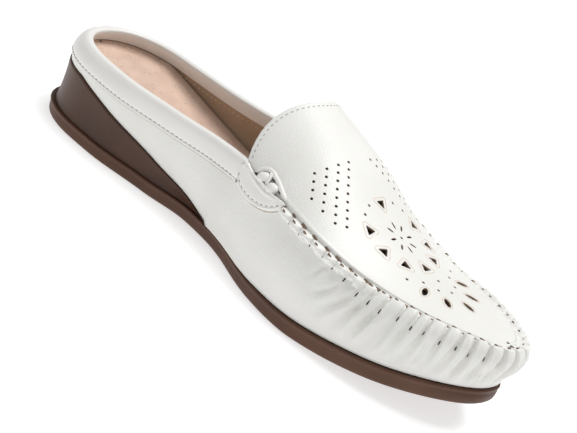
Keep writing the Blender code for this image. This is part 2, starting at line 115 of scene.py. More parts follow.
CREST = (
    # along, height
    (0.470, 1.000),
    (0.530, 0.935),
    (0.600, 0.848),
    (0.668, 0.724),
    (0.727, 0.640),
    (0.789, 0.589),
    (0.884, 0.566),
    (0.950, 0.558),
    (1.000, 0.556),
)

WALL_SWELL = (
    # up, bulge
    (0.00, 0.00),
    (0.16, 0.55),
    (0.38, 1.00),
    (0.62, 0.85),
    (0.80, 0.40),
    (0.92, 0.10),
    (1.00, 0.00),
)


def smoothstep(share):
    share = np.clip(share, 0.0, 1.0)
    return share * share * (3.0 - 2.0 * share)


def unit(vectors):
    return vectors / np.linalg.norm(vectors, axis=-1)[..., None]


def values_at(places, run, values):
    """Rows of values between their runs, at new places."""
    return np.stack([np.interp(places, run, part) for part in values.T], -1)


def column(table, index, along):
    """Smooth curve through one column of a table."""
    rows = np.array(table, float)
    places = rows[:, 0]
    values = rows[:, index]
    slopes = np.gradient(values, places)
    along = np.clip(along, places[0], places[-1])
    left = np.clip(np.searchsorted(places, along, side="right") - 1, 0, len(places) - 2)
    gap = places[left + 1] - places[left]
    t = (along - places[left]) / gap
    start = (1 + 2 * t) * (1 - t) ** 2 * values[left] + t * (1 - t) ** 2 * gap * slopes[left]
    end = t * t * (3 - 2 * t) * values[left + 1] - t * t * (1 - t) * gap * slopes[left + 1]
    return start + end


def outline_side(side):
    """One side of the sole outline: share of the length, points, and outward normals."""
    along = (1 - np.cos(np.linspace(0.0, math.pi, 1201))) / 2
    heel = np.clip((HEEL_ROUND - along) / HEEL_ROUND, 0.0, 1.0)
    toe = np.clip((along - TOE_ROUND) / (1.0 - TOE_ROUND), 0.0, 1.0)
    ends = (1 - heel ** 2.2) ** (1 / 2.2) * (1 - toe ** 2.4) ** (1 / 2.4)
    width = HEEL_WIDTH + (BALL_WIDTH - HEEL_WIDTH) * smoothstep((along - 0.20) / 0.44)
    y = column(OUTLINE, 1, along) * BALL_WIDTH + side * column(OUTLINE, 2, along) * width * ends
    x = along * LENGTH
    dx = np.gradient(x)
    dy = np.gradient(y)
    dx[0] = dx[-1] = 0.0
    size = np.hypot(dx, dy)
    normal = np.stack([-dy / size * side, dx / size * side], 1)
    normal[0] = (-1.0, 0.0)
    normal[-1] = (1.0, 0.0)
    return along, np.stack([x, y], 1), normal


SIDES = {side: outline_side(side) for side in (INNER, OUTER)}
RUNS = sum(np.r_[0.0, np.cumsum(np.hypot(*np.diff(SIDES[s][1], axis=0).T))] for s in SIDES)
MIDDLE_Y = (SIDES[INNER][1][:, 1].min() + SIDES[OUTER][1][:, 1].max()) / 2
END = RUNS[-1]
MOUTH_RUN, PUCKER_RUN = np.interp([MOUTH, FIRST_PUCKER], SIDES[INNER][0], RUNS)
PITCH = (END - PUCKER_RUN) / PUCKERS
BOW_RUN = (PUCKER_RUN - MOUTH_RUN) * 8 / 9
TIP_RUN = PITCH * 5 / 3


def rim(along):
    """Thickness of the sole, greater under the forefoot."""
    return RIM + RIM_FRONT * smoothstep((along - 0.55) / 0.25)


def toe_tuck(along):
    """How far the sole and the wall's foot draw back under the toe."""
    return TOE_TUCK * smoothstep((along - 0.84) / 0.16)


def foot_inset(side, along):
    """How far the wall's foot stands in from the sole's outline, less at the inner waist."""
    waist = WAIST_SWELL * np.exp(-((along - WAIST) / WAIST_SPREAD) ** 2) if side == INNER else 0.0
    return FOOT_INSET - waist + toe_tuck(along)


def wedge_rise(along):
    """Height of the wedge, which slopes down to the waist."""
    slope = np.clip((WEDGE_END - along) / (WEDGE_END - WEDGE_FLAT), 0.0, 1.0)
    return np.where(along <= WEDGE_END, WEDGE_END_HEIGHT + (WEDGE_RISE - WEDGE_END_HEIGHT) * slope, 0.0)


def bed(along):
    """Height of the sole's upper face, where the upper starts."""
    arch = ARCH * smoothstep((along - 0.30) / 0.10) * smoothstep((0.56 - along) / 0.10)
    spring = TOE_SPRING * np.clip((along - SPRING_START) / (1 - SPRING_START), 0, 1) ** SPRING_POWER
    return arch + spring + rim(along) + wedge_rise(along)


def rim_point(side, run, inset, height):
    """Place at a run along the outline, an inset in from it, at a height."""
    _, points, normals = SIDES[side]
    flat = values_at(run, RUNS, points) - unit(values_at(run, RUNS, normals)) * np.asarray(inset)[..., None]
    height = np.broadcast_to(height, flat.shape[:-1])
    return np.stack([flat[..., 0] - MIDDLE_X, flat[..., 1] - MIDDLE_Y, height], -1)


def wall(side, run, up):
    """Place on the wall: up goes from 0 at the sole to 1 at the seam or the topline."""
    run, up = np.broadcast_arrays(np.asarray(run, float), np.asarray(up, float))
    share = np.interp(run, RUNS, SIDES[side][0])
    edge = column(WALL_TOP, 2 if side == INNER else 3, share) * BALL_WIDTH
    foot_in = foot_inset(side, share)
    inset = foot_in + (edge - foot_in) * (1 - np.cos(math.pi / 2 * up)) ** 0.9
    foot = bed(share) + FOOT_GAP
    top = column(WALL_TOP, 1, share) * MOUTH_HEIGHT
    stand = smoothstep((0.86 - share) / 0.2)
    rise = stand * up + (1 - stand) * np.sin(math.pi / 2 * up)
    swell = SIDE_SWELL * smoothstep((top - foot) / 0.030) + TOE_SWELL * smoothstep((share - 0.80) / 0.16)
    inset = inset - swell * column(WALL_SWELL, 1, up)
    return rim_point(side, run, inset, foot + (top - foot) * rise)


def apron(run, u):
    """Place on the apron: u goes from -1 at the inner seam to 1 at the outer."""
    run, u = np.broadcast_arrays(np.asarray(run, float), np.asarray(u, float))
    a = wall(INNER, run, 1.0)
    b = wall(OUTER, run, 1.0)
    middle = (a + b) / 2
    point = middle + (b - a) / 2 * u[..., None]
    crest = column(CREST, 1, (middle[..., 0] + MIDDLE_X) / LENGTH) * INSTEP
    rise = (crest - middle[..., 2]) * smoothstep((END - run) / TIP_RUN)
    bow = TONGUE_BOW * smoothstep(1 - (run - MOUTH_RUN) / BOW_RUN)
    point[..., 2] += rise * (1 - np.abs(u) ** 2.5)
    point[..., 0] -= bow * 4 * u ** 2 * (1 - u ** 2)
    return point


# Mesh helpers

def grid_faces(rows, cols, wrap=False, start=0):
    """Quads of a grid of vertices, with the last column joined to the first where asked."""
    faces = []
    for i in range(rows - 1):
        for j in range(cols if wrap else cols - 1):
            a = start + i * cols + j
            b = start + i * cols + (j + 1) % cols
            faces.append((a, b, b + cols, a + cols))
    return faces


def ring_normals(points, towards):
    """Unit normals of a closed grid, on the side that agrees with the directions in towards."""
    down = np.gradient(points, axis=0)
    padded = np.concatenate([points[:, -2:], points, points[:, :2]], axis=1)
    along = np.gradient(padded, axis=1)[:, 2:-2]
    normal = np.cross(along, down)
    normal /= np.maximum(np.linalg.norm(normal, axis=-1), 1e-12)[..., None]
    flip = np.sign((normal * towards).sum(-1))
    flip[flip == 0] = 1
    return normal * flip[..., None]


def make(name, verts, faces, materials, replaces=(), slot="white_leather"):
    """New smooth mesh object that rides with the shoe and may stand for CAD nodes."""
    mesh = bpy.data.meshes.new(name)
    mesh.from_pydata([tuple(v) for v in verts], [], [tuple(f) for f in faces])
    work = bmesh.new()
    work.from_mesh(mesh)
    bmesh.ops.recalc_face_normals(work, faces=work.faces)
    work.to_mesh(mesh)
    work.free()
    mesh.shade_smooth()
    for material in materials:
        mesh.materials.append(material)
    obj = bpy.data.objects.new(name, mesh)
    bpy.context.collection.objects.link(obj)
    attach(obj, "root")
    if replaces:
        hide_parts(*replaces)
    return obj


def arc_lengths(points):
    """Run along the first axis of a grid of points."""
    steps = np.linalg.norm(np.diff(points, axis=0), axis=-1)
    return np.concatenate([np.zeros((1,) + steps.shape[1:]), np.cumsum(steps, axis=0)])


STEP = 2e-4


def resample(points, normals, pitch, margin=0.0):
    """Evenly spaced places along a path, with its normals and directions."""
    run = arc_lengths(points)
    count = max(1, int((run[-1] - 2 * margin) / pitch))
    at = margin + (np.arange(count) + 0.5) * (run[-1] - 2 * margin) / count
    normal = values_at(at, run, normals)
    tangent = unit(values_at(at + STEP, run, points) - values_at(at - STEP, run, points))
    normal -= tangent * (normal * tangent).sum(1)[:, None]
    return values_at(at, run, points), unit(normal), tangent


BEAD_RINGS = 7
BEAD_SIDES = 8
BEAD_BLUNT = 0.7


def beads(places, normals, tangents, length, width, height):
    """Small rounded bodies, one at each place: verts and faces of all of them."""
    turn = np.linspace(0, 2 * math.pi, BEAD_SIDES, endpoint=False)
    rows = np.linspace(0, math.pi, BEAD_RINGS)
    shape = np.array([(math.cos(r), math.sin(r) ** BEAD_BLUNT * math.cos(t),
                       math.sin(r) ** BEAD_BLUNT * math.sin(t)) for r in rows for t in turn])
    half = np.stack([np.broadcast_to(size, len(places)) for size in (length, width, height)], 1) / 2
    axes = np.stack([tangents, np.cross(normals, tangents), normals], 1)
    verts = places[:, None, :] + (shape[None, :, :] * half[:, None, :]) @ axes
    faces = []
    for k in range(len(places)):
        faces += grid_faces(BEAD_RINGS, BEAD_SIDES, True, k * len(shape))
    return verts.reshape(-1, 3), faces


def stitches(name, points, normals, sizes, lift, material, margin=0.0, slot="white_leather"):
    """Row of separate stitches along a path, of a pitch, length and thickness."""
    pitch, length, thick = sizes
    place, normal, tangent = resample(points, normals, pitch, margin)
    verts, faces = beads(place + normal * lift, normal, tangent, length, thick, thick)
    make(name, verts, faces, [material], slot=slot)


# Surfaces to lay details on

RUN_NUDGE = 4e-4
ACROSS_NUDGE = 2e-3
WALL_RUN_NUDGE = 6e-4
WALL_UP_NUDGE = 0.01
SEARCH_NUDGE = 2e-4
SEARCH_ROUNDS = 14
APRON_LAST = END - 1e-3


def ring_runs(rear_step, front_step):
    """Columns once round the shoe, from the heel by the inner side, the toe and back."""
    start = PUCKER_RUN - PITCH
    rear = np.linspace(0.0, start, int(start / 2 / rear_step) + 1)
    front = np.linspace(start, END, int((END - start) / 2 / front_step) + 1)
    runs = np.r_[rear, front[1:]]
    side = np.r_[np.full(len(runs), INNER), np.full(len(runs) - 2, OUTER)]
    return side, np.r_[runs, runs[-2:0:-1]]


def by_column(side, inner, outer):
    """Values for columns that may lie on either side."""
    return np.where((side == INNER)[..., None], inner, outer)


def outward(side, run):
    """Horizontal direction away from the shoe at each column."""
    inner, outer = (rim_point(s, run, -1.0 + 0.0 * run, 0.0) - rim_point(s, run, 0.0 * run, 0.0)
                    for s in (INNER, OUTER))
    return by_column(side, inner, outer)


def apron_normal(run, u):
    """Upward normals of the apron."""
    dr = apron(np.minimum(run + RUN_NUDGE, END), u) - apron(run - RUN_NUDGE, u)
    du = apron(run, np.minimum(u + ACROSS_NUDGE, 1.0)) - apron(run, np.maximum(u - ACROSS_NUDGE, -1.0))
    normal = np.cross(dr, du)
    size = np.maximum(np.linalg.norm(normal, axis=-1), 1e-12)
    normal = normal / size[..., None]
    return normal * np.sign(normal[..., 2:3] + 1e-9)


def find_on_apron(x, y):
    """Apron coordinates of places given in the plan."""
    runs = np.linspace(MOUTH_RUN, APRON_LAST, 400)
    middle = apron(runs, np.zeros(400))
    run = np.interp(x, middle[:, 0], runs)
    u = np.zeros_like(x)
    for _ in range(SEARCH_ROUNDS):
        now = apron(run, u)
        by_run = (apron(run + SEARCH_NUDGE, u) - now)[..., :2] / SEARCH_NUDGE
        by_u = (apron(run, u + ACROSS_NUDGE) - now)[..., :2] / ACROSS_NUDGE
        det = by_run[..., 0] * by_u[..., 1] - by_run[..., 1] * by_u[..., 0]
        gap_x = x - now[..., 0]
        gap_y = y - now[..., 1]
        run = np.clip(run + (gap_x * by_u[..., 1] - gap_y * by_u[..., 0]) / det, MOUTH_RUN, APRON_LAST)
        u = np.clip(u + (by_run[..., 0] * gap_y - by_run[..., 1] * gap_x) / det, -0.995, 0.995)
    return run, u


def apron_tree():
    """Search tree over the apron's faces."""
    runs = np.linspace(MOUTH_RUN, END - 2e-4, 320)
    us = np.linspace(-1.0, 1.0, 81)
    points = apron(runs[:, None], us[None, :]).reshape(-1, 3)
    return BVHTree.FromPolygons([tuple(p) for p in points], grid_faces(320, 81))


APRON_TREE = apron_tree()


def drop_on_apron(point, lift=0.0):
    """Point of the apron straight below or above a place, or the place itself off it."""
    hit, normal, _, _ = APRON_TREE.ray_cast(Vector((point[0], point[1], 0.2)), Vector((0, 0, -1)))
    if hit is None:
        return np.array(point), np.array((0.0, 0.0, 1.0))
    normal = normal if normal.z > 0 else -normal
    return np.array(hit + normal * lift), np.array(normal)


def wall_normal(side, run, up):
    """Outward normals of the wall."""
    run, up = np.broadcast_arrays(run, up)
    step = WALL_RUN_NUDGE
    along = wall(side, np.minimum(run + step, END), up) - wall(side, np.maximum(run - step, 0.0), up)
    step = WALL_UP_NUDGE
    upward = wall(side, run, np.minimum(up + step, 1.0)) - wall(side, run, np.maximum(up - step, 0.0))
    normal = unit(np.cross(along, upward))
    away = outward(np.full(run.shape, side), run)
    return normal * np.sign((normal * away).sum(-1))[..., None]


def below_seam(side, run, depth):
    """Points and outward normals on the wall at given depths below its upper edge."""
    ups = np.linspace(0.0, 1.0, 60)
    down = arc_lengths(wall(side, run[None, :], ups[:, None]))
    down = down[-1] - down
    depth = np.broadcast_to(depth, run.shape)
    up = np.array([np.interp(depth[k], down[::-1, k], ups[::-1]) for k in range(len(run))])
    return wall(side, run, up), wall_normal(side, run, up)


# Wall of the upper, with the gathers along its seam

FOLDS = 17.95
FOLD_PITCH = (END - PUCKER_RUN) / FOLDS
ROPE_LAST = 6.0
ROPE_HEIGHT = 3.0 * MM
FINGER_HEIGHT = 1.35 * MM
FINGER_TOE = 2.05 * MM
GROOVE_SINK = 0.35 * MM
OVER_SINK = 1.0 * MM
PIN_SINK = 1.0 * MM
FOLD_SINK = 1.45 * MM
FOLD_TOE = 0.3 * MM
RIDGE_HEIGHT = 0.75 * MM
GROOVE_DEPTH = 0.7 * MM
GROOVE_WIDE = 0.75 * MM
ROPE_TOP = 1.3 * MM
ROPE_WIDE = 3.6 * MM
ROPE_UNEVEN = 0.5 * MM
FOLD_START = 4.0 * MM
FOLD_WIDE = 0.50 * MM
FOLD_SPREAD = 0.07
PIN_WIDE = 0.55 * MM
PIN_LONG = 1.5 * MM
REAR_COLUMN = 1.6 * MM
FRONT_COLUMN = 0.34 * MM
OVER_STEPS = (0.5 * MM, 1.2 * MM)
ABOVE_SOLE = 8 * MM


def pucker_count(side, run):
    """Number of pinches from the tab to a column, a little uneven as if sewn by hand."""
    q = (run - PUCKER_RUN) / FOLD_PITCH - 0.45
    wobble = 0.09 * np.sin(1.9 * q + 0.8 * side) + 0.05 * np.sin(4.3 * q + 2.0 * side)
    return q + wobble * np.sin(math.pi * np.clip(q / (FOLDS - 0.45), 0, 1))


def pinch_run(side, number):
    """Where a pinch, or a place between two, lies along the outline."""
    runs = np.linspace(PUCKER_RUN - FOLD_PITCH, END, 4000)
    return np.interp(number, pucker_count(side, runs), runs)


def pinch_depth(number):
    """Depth of the stitch hole below the seam."""
    return (4.4 + 3.6 * smoothstep((number - 3.0) / 4.5) - 1.2 * smoothstep((number - 13.0) / 4.0)
            + 0.35 * np.sin(3.3 * number)) * MM


def fold_length(side, number):
    """How far each pinch's fold runs down the wall, in metres."""
    base = 5.0 + 13.0 * smoothstep((number - 3.5) / 3.0)
    return (base + 4.5 * np.sin(2.7 * number + side) + 2.0 * np.sin(5.1 * number)) * MM


CREASES = (
    # run and depth where it starts, run and depth where it ends, width, sink, in millimetres
    (27.0, 5.5, 21.0, 15.0, 1.0, 0.40),
    (35.0, 6.0, 26.0, 21.0, 1.3, 0.80),
    (42.0, 6.5, 31.0, 27.0, 1.6, 1.15),
    (49.0, 6.5, 37.0, 29.0, 1.6, 1.15),
    (56.0, 7.0, 46.0, 28.0, 1.4, 0.85),
    (64.0, 8.0, 56.0, 27.0, 1.3, 0.75),
    (78.0, 8.0, 73.0, 26.0, 1.2, 0.70),
    (94.0, 9.0, 91.0, 28.0, 1.1, 0.75),
    (102.0, 7.0, 102.0, 29.0, 0.9, 0.95),
    (108.0, 6.0, 110.0, 28.0, 0.9, 1.05),
    (113.5, 5.0, 115.5, 24.0, 0.9, 0.90),
)


def crease_lift(run, depth):
    """Main creases of the wall: a soft trough each, with a ridge on its forward side."""
    forward = (run - PUCKER_RUN) / 2 / MM
    down = depth / MM
    lift = np.zeros(np.broadcast_shapes(forward.shape, down.shape))
    for run_0, depth_0, run_1, depth_1, width, sink in CREASES:
        length = math.hypot(run_1 - run_0, depth_1 - depth_0)
        step_x = (run_1 - run_0) / length
        step_y = (depth_1 - depth_0) / length
        along = (forward - run_0) * step_x + (down - depth_0) * step_y
        across = (forward - run_0) * step_y - (down - depth_0) * step_x
        across = across + 0.8 * np.sin(0.25 * along + run_0)
        ends = smoothstep(along / (0.25 * length)) * smoothstep((length - along) / (0.55 * length))
        wide = width * (0.7 + 0.6 * np.clip(along / length, 0, 1))
        lift = lift - sink * MM * ends * np.exp(-(across / wide) ** 2)
        lift = lift + 0.6 * sink * MM * ends * np.exp(-((across - 2.0 * wide) / (1.3 * wide)) ** 2)
    return lift


def wall_lift(side, run, depth):
    """How far the wall stands out from its plain form. Depth is the run below the seam."""
    share = np.interp(run, RUNS, SIDES[INNER][0])
    toe = smoothstep((share - 0.78) / 0.19)
    q = pucker_count(side, run)
    gathered = smoothstep((q + 1.5) / 0.6)
    number = np.round(q)
    off = (q - number) * FOLD_PITCH / 2
    crown = np.abs(np.sin(math.pi * q))
    late = smoothstep((q - ROPE_LAST + 1.5) / 3.0)
    across = np.clip((depth - ROPE_TOP) / (ROPE_WIDE + ROPE_UNEVEN * np.sin(2.3 * number)), 0, 1)
    rope = ROPE_HEIGHT * np.sqrt(1 - (2 * across - 1) ** 2) * (0.08 + 0.92 * crown ** 0.65)
    settle = np.exp(-(np.maximum(depth - 3.5 * MM, 0) / ((6.0 + 1.0 * toe) * MM)) ** 2)
    finger = (FINGER_HEIGHT + FINGER_TOE * toe) * smoothstep((depth / MM - 0.8) / 1.9) * settle
    finger *= 0.70 + 0.30 * crown ** 0.7
    lift = rope * (1 - late) + finger * late
    lift -= GROOVE_SINK * np.exp(-((depth - GROOVE_DEPTH) / GROOVE_WIDE) ** 2)
    lift -= OVER_SINK * np.clip(-depth / (1.2 * MM), 0, 1)
    pin = np.exp(-(off / PIN_WIDE) ** 2) * np.exp(-((depth - pinch_depth(number)) / PIN_LONG) ** 2)
    lift -= PIN_SINK * pin * late
    reach = np.maximum(fold_length(side, q), 2 * MM) * (1 + 0.9 * toe)
    fade = np.exp(-(np.maximum(depth - FOLD_START, 0) / reach) ** 2)
    wide = FOLD_WIDE + FOLD_SPREAD * np.maximum(depth, 0)
    lean = 0.34 - 0.22 * smoothstep((q - 7) / 6) + 0.05 * np.sin(2.2 * q + 1.3 * side)
    leaning = q + lean * np.maximum(depth - FOLD_START, 0) / (FOLD_PITCH / 2)
    beside = (leaning - np.round(leaning)) * FOLD_PITCH / 2
    fold = np.exp(-(beside / wide) ** 2)
    lift -= (FOLD_SINK + FOLD_TOE * toe) * fold * fade * smoothstep(depth / (2.5 * MM)) * late
    ridge = np.exp(-((beside - 1.6 * wide) / (0.9 * wide)) ** 2)
    lift += RIDGE_HEIGHT * ridge * fade * smoothstep((depth / MM - 3) / 4) * late
    return lift * gathered + crease_lift(run, depth)


def upper_wall(leather):
    """The whole wall, carried a little over its upper edge and in at its foot."""
    side, run = ring_runs(REAR_COLUMN, FRONT_COLUMN)
    ups = 1 - (1 - np.linspace(0.0, 1.0, 62)[:, None]) ** 1.7
    base = by_column(side[None], wall(INNER, run[None], ups), wall(OUTER, run[None], ups))
    normals = by_column(side[None], wall_normal(INNER, run[None], ups), wall_normal(OUTER, run[None], ups))
    away = outward(side, run)
    over = [base[-1] - away * step for step in OVER_STEPS]
    points = np.concatenate([base, np.array(over)])
    normals = np.concatenate([normals, normals[-1:], normals[-1:]])
    depth = arc_lengths(points)
    above_sole = smoothstep(depth / ABOVE_SOLE)
    depth = depth[len(base) - 1] - depth
    lift = wall_lift(side[None, :], run[None, :], depth) * above_sole
    points = points + normals * lift[..., None]
    rows, cols = points.shape[:2]
    rim_edge = points[0] - away * LEATHER
    verts = np.concatenate([rim_edge[None], points]).reshape(-1, 3)
    make("upper_wall", verts, grid_faces(rows + 1, cols, True), [leather], ("upper",))


# Apron with its punched pattern, in millimetres from the flower's centre

FLOWER_X = 0.0569
FLOWER_Y = -0.0047
PATTERN_TURN = math.radians(-0.6)
APRON_SPAN = 35.0 * MM
APRON_THICK = 1.7 * MM
APRON_STEP = 0.9 * MM
MARGIN_ROLL = 0.35 * MM
CONTOUR_GROW = (0.72, 0.94)
CONTOUR_STRETCH = 1.45
CONTOUR_LIFT = 0.05 * MM
TONGUE_STITCH = 2.3 * MM

DOT_ROWS = (
    # count, first forward, first sideways, last forward, last sideways
    (9, -32.4, 7.5, -10.4, 25.2),
    (8, -32.8, 13.2, -13.9, 28.5),
    (6, -33.6, 18.5, -20.6, 29.5),
    (4, -35.0, 23.2, -27.4, 29.6),
)

DOTS = (
    # forward, sideways
    (0.0, 0.0),
    (-14.9, 8.5),
    (-12.0, 13.5),
    (18.0, 15.9),
    (21.7, 9.5),
    (22.6, 0.0),
    (27.3, 6.0),
    (29.9, 0.0),
)

TRIANGLES = (
    # forward, sideways
    (-14.8, 0.0),
    (-5.6, 15.7),
    (3.9, 15.7),
    (11.9, 10.2),
    (15.2, 0.0),
)

PETALS = (
    # forward, sideways, turn in degrees
    (26.0, 13.6, 63.0),
    (34.4, 9.0, 34.0),
    (38.9, 0.0, 0.0),
)

SLITS = 8
SLIT_RADIUS = 5.6

ROUND_HOLES = {
    # corners, half length, half width, sharpness
    "dot": (10, 0.64, 0.64, 1.0),
    "slit": (14, 1.75, 0.50, 1.0),
    "petal": (16, 2.90, 1.25, 1.15),
}
TRIANGLE_CORNERS = ((-2.0, 0.0), (1.2, -1.9), (1.2, 1.9))
CORNER_RADIUS = 0.28
CORNER_STEPS = 4


def pattern_places():
    """Every hole of the pattern: kind, forward, sideways and turn."""
    single = [("dot", x, y, 0.0) for x, y in DOTS]
    single += [("triangle", x, y, math.atan2(y, x)) for x, y in TRIANGLES]
    single += [("petal", x, y, math.radians(turn)) for x, y, turn in PETALS]
    places = []
    for mirror in (INNER, OUTER):
        for count, x0, y0, x1, y1 in DOT_ROWS:
            for share in np.linspace(0.0, 1.0, count):
                places.append(("dot", x0 + (x1 - x0) * share, mirror * (y0 + (y1 - y0) * share), 0.0))
        places += [(kind, x, mirror * y, mirror * turn) for kind, x, y, turn in single
                   if y > 0 or mirror == OUTER]
    for turn in np.arange(SLITS) * 2 * math.pi / SLITS:
        places.append(("slit", SLIT_RADIUS * math.cos(turn), SLIT_RADIUS * math.sin(turn), turn))
    return places


def rounded(corners, radius):
    """Convex outline grown by a radius, with round corners."""
    corners = np.array(corners, float)
    out = []
    for k in range(len(corners)):
        before = corners[k] - corners[k - 1]
        after = corners[(k + 1) % len(corners)] - corners[k]
        a = math.atan2(-before[0], before[1])
        b = math.atan2(-after[0], after[1])
        while b < a:
            b += 2 * math.pi
        for turn in np.linspace(a, b, CORNER_STEPS):
            out.append(corners[k] + radius * np.array((math.cos(turn), math.sin(turn))))
    return np.array(out)


def hole_shape(kind, grow=0.0, stretch=1.0):
    """Outline of one hole about its own centre, in millimetres, counterclockwise."""
    if kind == "triangle":
        return rounded(stretch * np.array(TRIANGLE_CORNERS), CORNER_RADIUS + grow)
    count, long, wide, sharp = ROUND_HOLES[kind]
    turn = np.linspace(0, 2 * math.pi, count, endpoint=False)
    across = np.sign(np.sin(turn)) * np.abs(np.sin(turn)) ** sharp
    return np.stack([(long + grow) * np.cos(turn), (wide + grow) * across], 1)


def placed_shape(shape, x, y, turn):
    """Plan points of an outline that is laid on the apron at a place of the pattern."""
    cos, sin = math.cos(PATTERN_TURN), math.sin(PATTERN_TURN)
    centre_x = FLOWER_X + (x * cos - y * sin) * MM
    centre_y = FLOWER_Y + (x * sin + y * cos) * MM
    _, normal = drop_on_apron((centre_x, centre_y, 0.0))
    forward = unit(np.cross((0.0, 1.0, 0.0), normal))
    sideways = np.cross(normal, forward)
    full = turn + PATTERN_TURN
    along = (shape[:, 0] * math.cos(full) - shape[:, 1] * math.sin(full)) * MM
    across = (shape[:, 0] * math.sin(full) + shape[:, 1] * math.cos(full)) * MM
    return (np.array((centre_x, centre_y))[None, :] + along[:, None] * forward[None, :2]
            + across[:, None] * sideways[None, :2])


def inside(points, outline):
    """Which points lie inside a closed outline."""
    x, y = points[:, 0], points[:, 1]
    result = np.zeros(len(points), bool)
    for k in range(len(outline)):
        x0, y0 = outline[k - 1]
        x1, y1 = outline[k]
        crosses = (y0 > y) != (y1 > y)
        with np.errstate(divide="ignore", invalid="ignore"):
            at = (x1 - x0) * (y - y0) / (y1 - y0) + x0
        result ^= crosses & (x < at)
    return result


def to_flat(plan):
    """Plan places as flat apron coordinates, both in metres."""
    run, u = find_on_apron(plan[:, 0], plan[:, 1])
    return np.stack([(run - MOUTH_RUN) / 2, u * APRON_SPAN], 1)


def distance(points, edge):
    """Distance from each point to the nearest one of an edge."""
    tree = KDTree(len(edge))
    for k, point in enumerate(edge):
        tree.insert(point, k)
    tree.balance()
    return np.array([tree.find(point)[2] for point in points])


def seam_distance(points):
    runs = np.linspace(MOUTH_RUN, END, 700)
    return distance(points, np.concatenate([wall(INNER, runs, 1.0), wall(OUTER, runs, 1.0)]))


def tongue_distance(points):
    return distance(points, apron(np.full(500, MOUTH_RUN), np.linspace(-1.0, 1.0, 500)))


def apron_lift(points):
    """Relief of the apron's two faces: rolled margin by the seam, rounded edge at the tongue."""
    near = seam_distance(points) / MM
    edge = tongue_distance(points) / MM
    front = smoothstep((points[:, 0] + MIDDLE_X) / LENGTH * 10 - 5.2)
    lift = MARGIN_ROLL * front * (np.exp(-((near - 0.5) / 0.6) ** 2) - np.clip(1 - near / 0.5, 0, 1))
    lift -= 0.15 * MM * np.exp(-((edge - TONGUE_STITCH / MM) / 0.5) ** 2)
    rounding = 1 - np.sqrt(1 - np.clip(1 - edge / 0.9, 0, 1) ** 2)
    return lift - 0.8 * MM * rounding, APRON_THICK - 0.7 * MM * rounding


def apron_mesh(leather, cut_edge):
    """The apron as a sheet of real thickness with every hole of the pattern cut through."""
    length = (END - MOUTH_RUN) / 2 - 0.2 * MM
    along = np.linspace(0.0, length, int(length / APRON_STEP) + 1)
    along = np.sort(np.r_[along, 0.15 * MM, 0.35 * MM, 0.6 * MM])
    across = np.linspace(-APRON_SPAN, APRON_SPAN, int(2 * APRON_SPAN / APRON_STEP) + 1)
    across = np.sort(np.r_[across, across[:4] + 0.4 * MM, across[-4:] - 0.4 * MM])
    grid = np.stack(np.meshgrid(along, across, indexing="ij"), -1).reshape(-1, 2)
    keep = np.ones(len(grid), bool)
    outlines = []
    rings = []
    for kind, *place in pattern_places():
        outline, ring, clear = (to_flat(placed_shape(hole_shape(kind, grow), *place))
                                for grow in (0.0, 0.32, 0.62))
        keep &= ~inside(grid, clear)
        outlines.append(outline)
        rings.append(ring)
    points = [grid[keep]] + rings
    edges = []
    count = sum(len(p) for p in points)
    for outline in outlines:
        edges += [(count + k, count + (k + 1) % len(outline)) for k in range(len(outline))]
        count += len(outline)
    flat = np.concatenate(points + outlines)
    result = delaunay_2d_cdt([Vector(p) for p in flat], edges, [], 0, 1e-8)
    flat = np.array([tuple(v) for v in result[0]])
    triangles = np.array(result[2])
    middle = flat[triangles].mean(axis=1)
    solid = np.ones(len(triangles), bool)
    for outline in outlines:
        low = outline.min(axis=0)
        high = outline.max(axis=0)
        near = np.flatnonzero(((middle > low) & (middle < high)).all(axis=1))
        solid[near[inside(middle[near], outline)]] = False
    triangles = triangles[solid]
    run = MOUTH_RUN + 2 * flat[:, 0]
    u = np.clip(flat[:, 1] / APRON_SPAN, -1, 1)
    base = apron(run, u)
    normal = apron_normal(np.maximum(run, MOUTH_RUN + 5e-4), u)
    lift, thick = apron_lift(base)
    top = base + normal * lift[:, None]
    under = base - normal * thick[:, None]
    count = len(top)
    faces = [tuple(t) for t in triangles]
    faces += [tuple(int(v) + count for v in t[::-1]) for t in triangles]
    directed = set()
    for a, b, c in triangles:
        directed.update(((a, b), (b, c), (c, a)))
    first_side = len(faces)
    for a, b in sorted(directed):
        if (b, a) not in directed:
            faces.append((b, a, a + count, b + count))
    obj = make("apron", np.concatenate([top, under]), faces, [leather, cut_edge], ("upper",))
    centre = np.array([p.center[:] for p in obj.data.polygons[first_side:]])
    holes = (tongue_distance(centre) > 3 * MM) & (seam_distance(centre) > 2.5 * MM)
    for polygon, is_hole in zip(obj.data.polygons[first_side:], holes):
        polygon.material_index = int(is_hole)


def contours(thread):
    """Thin tan line round each triangle and petal."""
    verts = []
    faces = []
    for kind, *place in pattern_places():
        if kind in ("dot", "slit"):
            continue
        stretch = CONTOUR_STRETCH if kind == "triangle" else 1.0
        start = len(verts)
        for grow in CONTOUR_GROW:
            ring = placed_shape(hole_shape(kind, grow, stretch), *place)
            verts += [drop_on_apron((x, y, 0.0), CONTOUR_LIFT)[0] for x, y in ring]
        faces += grid_faces(2, len(ring), True, start)
    make("pattern_contours", verts, faces, [thread])


def sheet_under_apron(name, depth, material, from_edge):
    """Sheet under the apron, at a depth below its upper face: the tan lining, and also a dark sheet of
    painted shade seen through the holes.
    """
    runs = np.linspace(MOUTH_RUN + 2 * from_edge, END - 3 * MM, 90)
    run, u = np.meshgrid(runs, np.linspace(-0.985, 0.985, 49), indexing="ij")
    points = apron(run, u) - apron_normal(run, u) * depth
    make(name, points.reshape(-1, 3), grid_faces(*run.shape), [material])


# Collar, lining and footbed

